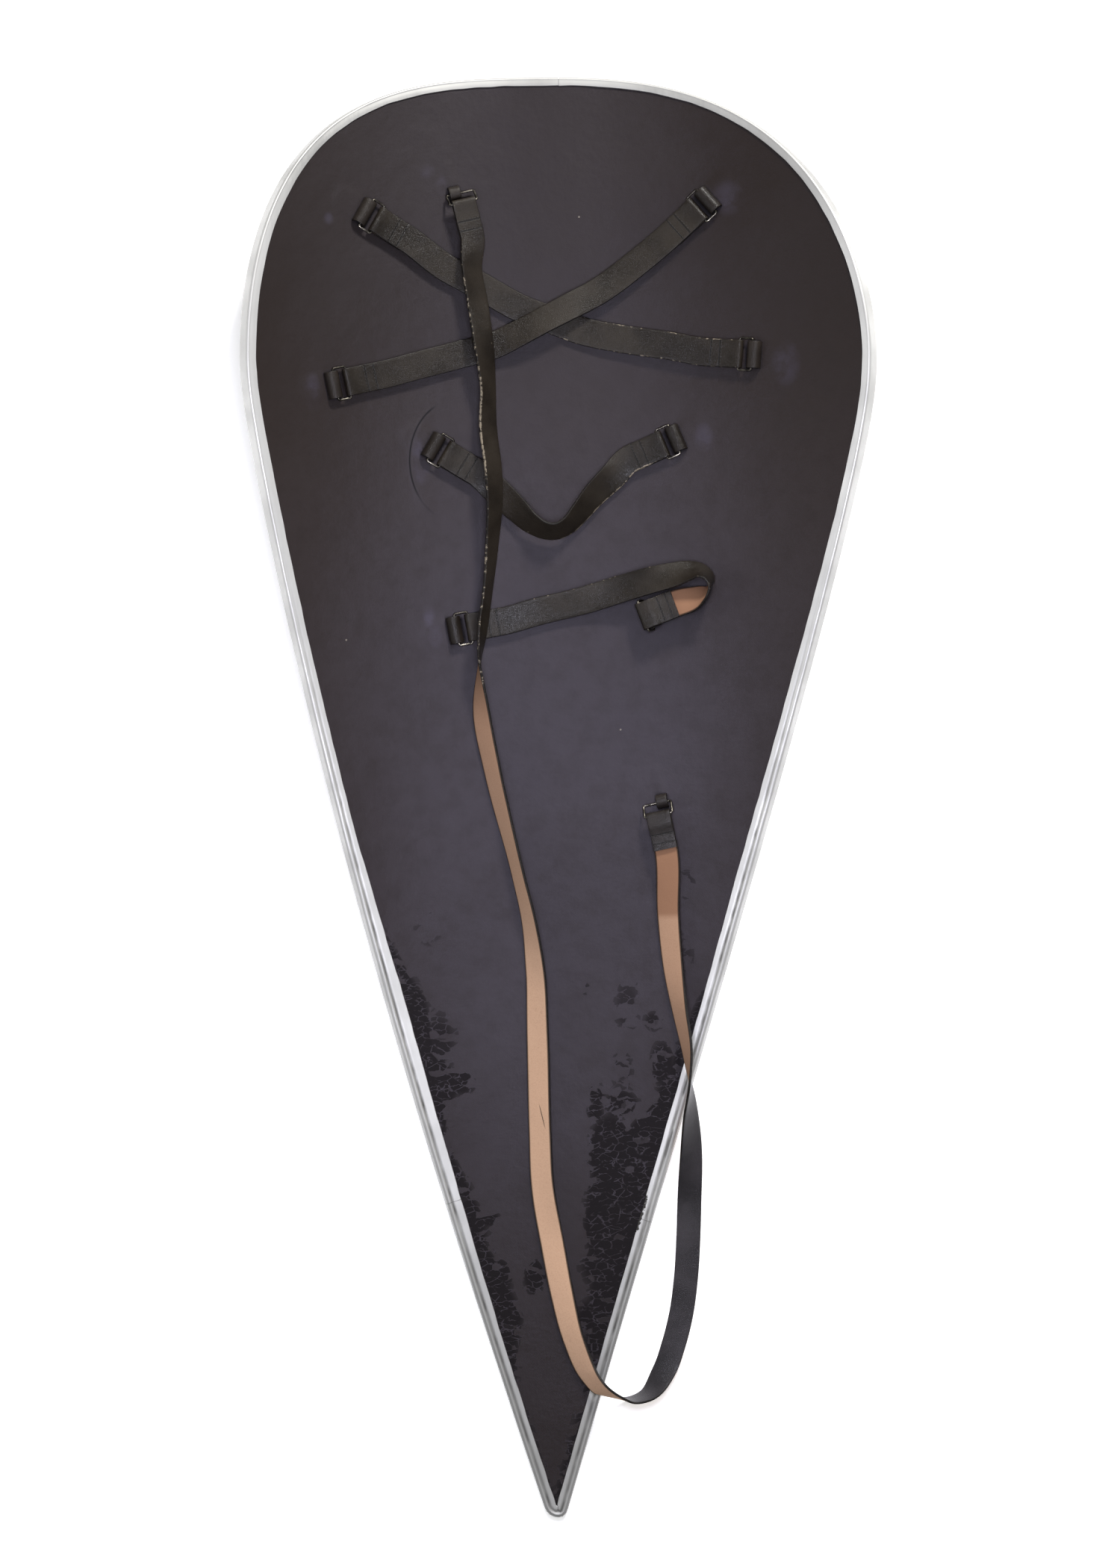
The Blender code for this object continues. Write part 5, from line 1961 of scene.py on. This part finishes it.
# Places between the two folds of each strap: across, along and lift in outline parts, and roll in degrees.
FIRST_ROUTE = on_back(
    (-99, 84, 5.5, 0), (-66, 67, 4, 0), (-33, 49, 3, 0), (-6, 39, 2.8, 0), (22, 29, 3.2, 0),
    (56, 22, 4.5, 0), (98, 15, 5.8, 0)
)
SECOND_ROUTE = on_back(
    (-121, -2, 6, 0), (-86, 8, 5, 0), (-55, 17, 6, 8), (-34, 27, 9, 16), (-13, 38, 10.4, 18),
    (8, 49, 9.6, 12), (34, 63, 7, 8), (68, 88, 6, 4)
)
MIDDLE_ROUTE = on_back(
    (-55, -108, 7.5, -14), (-37, -125, 11, -30), (-23, -138, 14, -48), (-12, -144, 15, -56),
    (-3, -145, 15.5, -60), (8, -140, 15, -56), (18, -129, 14, -48), (30, -114, 11.5, -36),
    (47, -97, 8, -20)
)
LOWER_ROUTE = on_back(
    (-22, -215, 6, -7), (23, -204, 8, -8), (53, -195, 12, 6), (78, -188, 17, 12), (99, -183, 18, 24),
    (112, -180, 17.5, 40), (122, -180, 17, 58), (129, -185, 16.5, 78), (131, -191, 16, 95),
    (128, -197, 15.5, 115), (120, -202, 14.5, 145)
)
GUIGE_DOWN = on_back(
    (-75, 85, 14, 30), (-70, 53, 13.8, 28), (-64, 12, 18, 34), (-61, -20, 11, 50), (-61, -53, 10, 42),
    (-56, -96, 20, 44), (-55, -121, 19.5, 49), (-57, -150, 12.5, 56), (-61, -195, 16, 66),
    (-66, -235, 21, 67), (-68, -267, 12.5, 92), (-67, -297, 10.8, 124), (-57, -352, 9.8, 128),
    (-35, -441, 10.6, 118), (-25, -485, 10, 126), (-20, -525, 8, 142), (-18, -583, 6.3, 154),
    (-16, -665, 5.6, 157), (-14, -710, 4.8, 162), (-5, -764, 2.6, 178), (3, -805, 4.2, 166),
    (14, -847, 7, 151)
)
GUIGE_FLOOR = on_floor(
    (26, -874, 20.5, 143), (37, -887, 25.5, 122), (51, -895, 15.5, 104), (62, -898, 11.8, 90),
    (76, -894, 10.4, 63), (92, -873, 5.4, 18), (100, -851, 3.4, 7), (106, -828, 2.2, 2),
    (111, -792, 1.7, 0), (113, -758, 1.7, 0), (114, -722, 2.6, -4), (115, -687, 11, -24),
    (114, -648, 28, -54), (113, -618, 37, -90), (111, -593, 36, -112)
)
GUIGE_UP = on_back(
    (105, -560, 11, -136), (99, -520, 6.5, -156), (95, -475, 6.3, -166)
)
# Where each strap's dye is rubbed off.
FIRST_RUBBED = (Blotch(600, 370, 1100, 600, 0.5),)
SECOND_RUBBED = (Blotch(440, 330, 980, 600, 0.12),)
MIDDLE_RUBBED = (Blotch(660, 560, 930, 760, 0.8, -1), Blotch(560, 540, 900, 740, 0.2))
LOWER_RUBBED = (Blotch(600, 700, 1010, 900, 0.4, 1), Blotch(880, 730, 990, 830, 0.35, -1))
GUIGE_RUBBED = (
    Blotch(560, 240, 700, 720, 0.55, -1),
    Blotch(590, 460, 690, 680, 0.85, -1),
    Blotch(560, 620, 700, 980, 0.5, -1),
    Blotch(620, 270, 690, 540, 0.35, 1),
)
# Each strap's name, the start of its two anchors' names, its route and its rubbed places.
STRAPS = (
    ("guige_strap", "guige", GUIGE_DOWN + GUIGE_FLOOR + GUIGE_UP, GUIGE_RUBBED),
    ("first_cross_strap", "first", FIRST_ROUTE, FIRST_RUBBED),
    ("second_cross_strap", "second", SECOND_ROUTE, SECOND_RUBBED),
    ("middle_strap", "middle", MIDDLE_ROUTE, MIDDLE_RUBBED),
    ("lower_strap", "lower", LOWER_ROUTE, LOWER_RUBBED),
)


@dataclass(frozen=True)
class Lamp:
    """A square area light that faces the shield's middle."""

    name: str
    place: tuple[float, float, float]
    size: float
    power: float
    tint: tuple[float, float, float] = (1.0, 1.0, 1.0)

    def build(self) -> None:
        """Hang the light: turned down by its angle from the vertical, and round by its bearing."""
        data = bpy.data.lights.new(self.name, "AREA")
        data.size = self.size
        data.energy = self.power
        data.color = self.tint
        light = bpy.data.objects.new(self.name, data)
        light.location = self.place
        x, y, height = self.place
        pitch = math.acos(height / np.linalg.norm(self.place))
        light.rotation_euler = (0, pitch, math.atan2(y, x))
        light.visible_camera = False
        bpy.context.scene.collection.objects.link(light)


@dataclass
class Studio:
    """A pale floor, soft light from above the top edge, and a lamp overhead for the facing's sheen."""

    floor_size: float = 30.0
    floor_drop: float = 0.0005
    floor_colour: Colour = screen(250, 250, 250)
    floor_glow: float = 0.5
    ambient: float = 0.3
    lamps: tuple[Lamp, ...] = (
        Lamp("key_light", (0.75, 2.6, 1.7), 0.45, 112.0, (1.0, 0.98, 0.95)),
        Lamp("right_light", (2.0, 0.3, 0.8), 1.0, 1.6),
        Lamp("left_light", (-2.0, 0.1, 0.8), 1.0, 7.0),
        Lamp("sheen_light", (-0.01, 0.07, 1.3), 0.45, 13.0, (0.86, 0.86, 1.0)),
    )

    def build_floor(self) -> Piece:
        """Lay the floor just under the shield.

        Returns:
            The floor.
        """
        half = self.floor_size / 2
        corners = [(-half, -half, 0), (half, -half, 0), (half, half, 0), (-half, half, 0)]
        mesh = bpy.data.meshes.new("pale_floor")
        mesh.from_pydata(corners, [], [(0, 1, 2, 3)])
        material, _, shader, _ = start_material("pale_floor", {"Roughness": 0.9, "Specular IOR Level": 0.1})
        shader.inputs["Base Color"].default_value = self.floor_colour
        shader.inputs["Emission Color"].default_value = self.floor_colour
        shader.inputs["Emission Strength"].default_value = self.floor_glow
        mesh.materials.append(material)
        floor = bpy.data.objects.new("pale_floor", mesh)
        floor.location.z = -self.floor_drop
        bpy.context.scene.collection.objects.link(floor)
        return floor

    def build(self) -> None:
        """Set the sky, the lights and the colour handling."""
        world = bpy.data.worlds.new("studio")
        world.use_nodes = True
        sky = world.node_tree.nodes["Background"]
        sky.inputs["Color"].default_value = (1.0, 1.0, 1.0, 1.0)
        sky.inputs["Strength"].default_value = self.ambient
        bpy.context.scene.world = world
        self.build_floor()
        for lamp in self.lamps:
            lamp.build()
        bpy.context.scene.view_settings.view_transform = "Standard"


def main() -> None:
    """Build every piece in order."""
    logging.basicConfig(level=logging.INFO, format="%(name)s: %(message)s")
    VIEW.build()
    effects = Effects()
    leather = StrapFinish().build(effects)
    keeper_leather = StrapFinish(
        name="keeper_leather", grain_dark=screen(24, 20, 17), grain_light=screen(38, 33, 29)
    ).build(effects)
    thread = ThreadFinish().build(effects)
    wire = WireFinish().build(effects)
    kit = KeepersAndRings()
    straps = []
    for name, ends, route, rubbed in STRAPS:
        straps.append(Strap(name, ANCHORS[ends + "_left"], ANCHORS[ends + "_right"], route, rubbed))
    pieces = []
    for strap in straps:
        strap.lay(kit)
        piece = strap.build(leather)
        seams = strap.stitches(thread)
        pieces += [piece, seams]
    pieces.append(Board().build(FacingFinish().build(effects)))
    pieces += Rim().build(RimFinish().build(effects))
    for anchor in ANCHORS.values():
        pieces.append(kit.build_keeper(anchor, keeper_leather))
        pieces.append(kit.build_ring(anchor, wire))
    for piece in pieces:
        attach(piece, "root")
        triangles = sum(len(face.vertices) - 2 for face in piece.data.polygons)
        LOG.info("%s: %d triangles", piece.name, triangles)
    Studio().build()


if __name__ == "__main__":
    main()
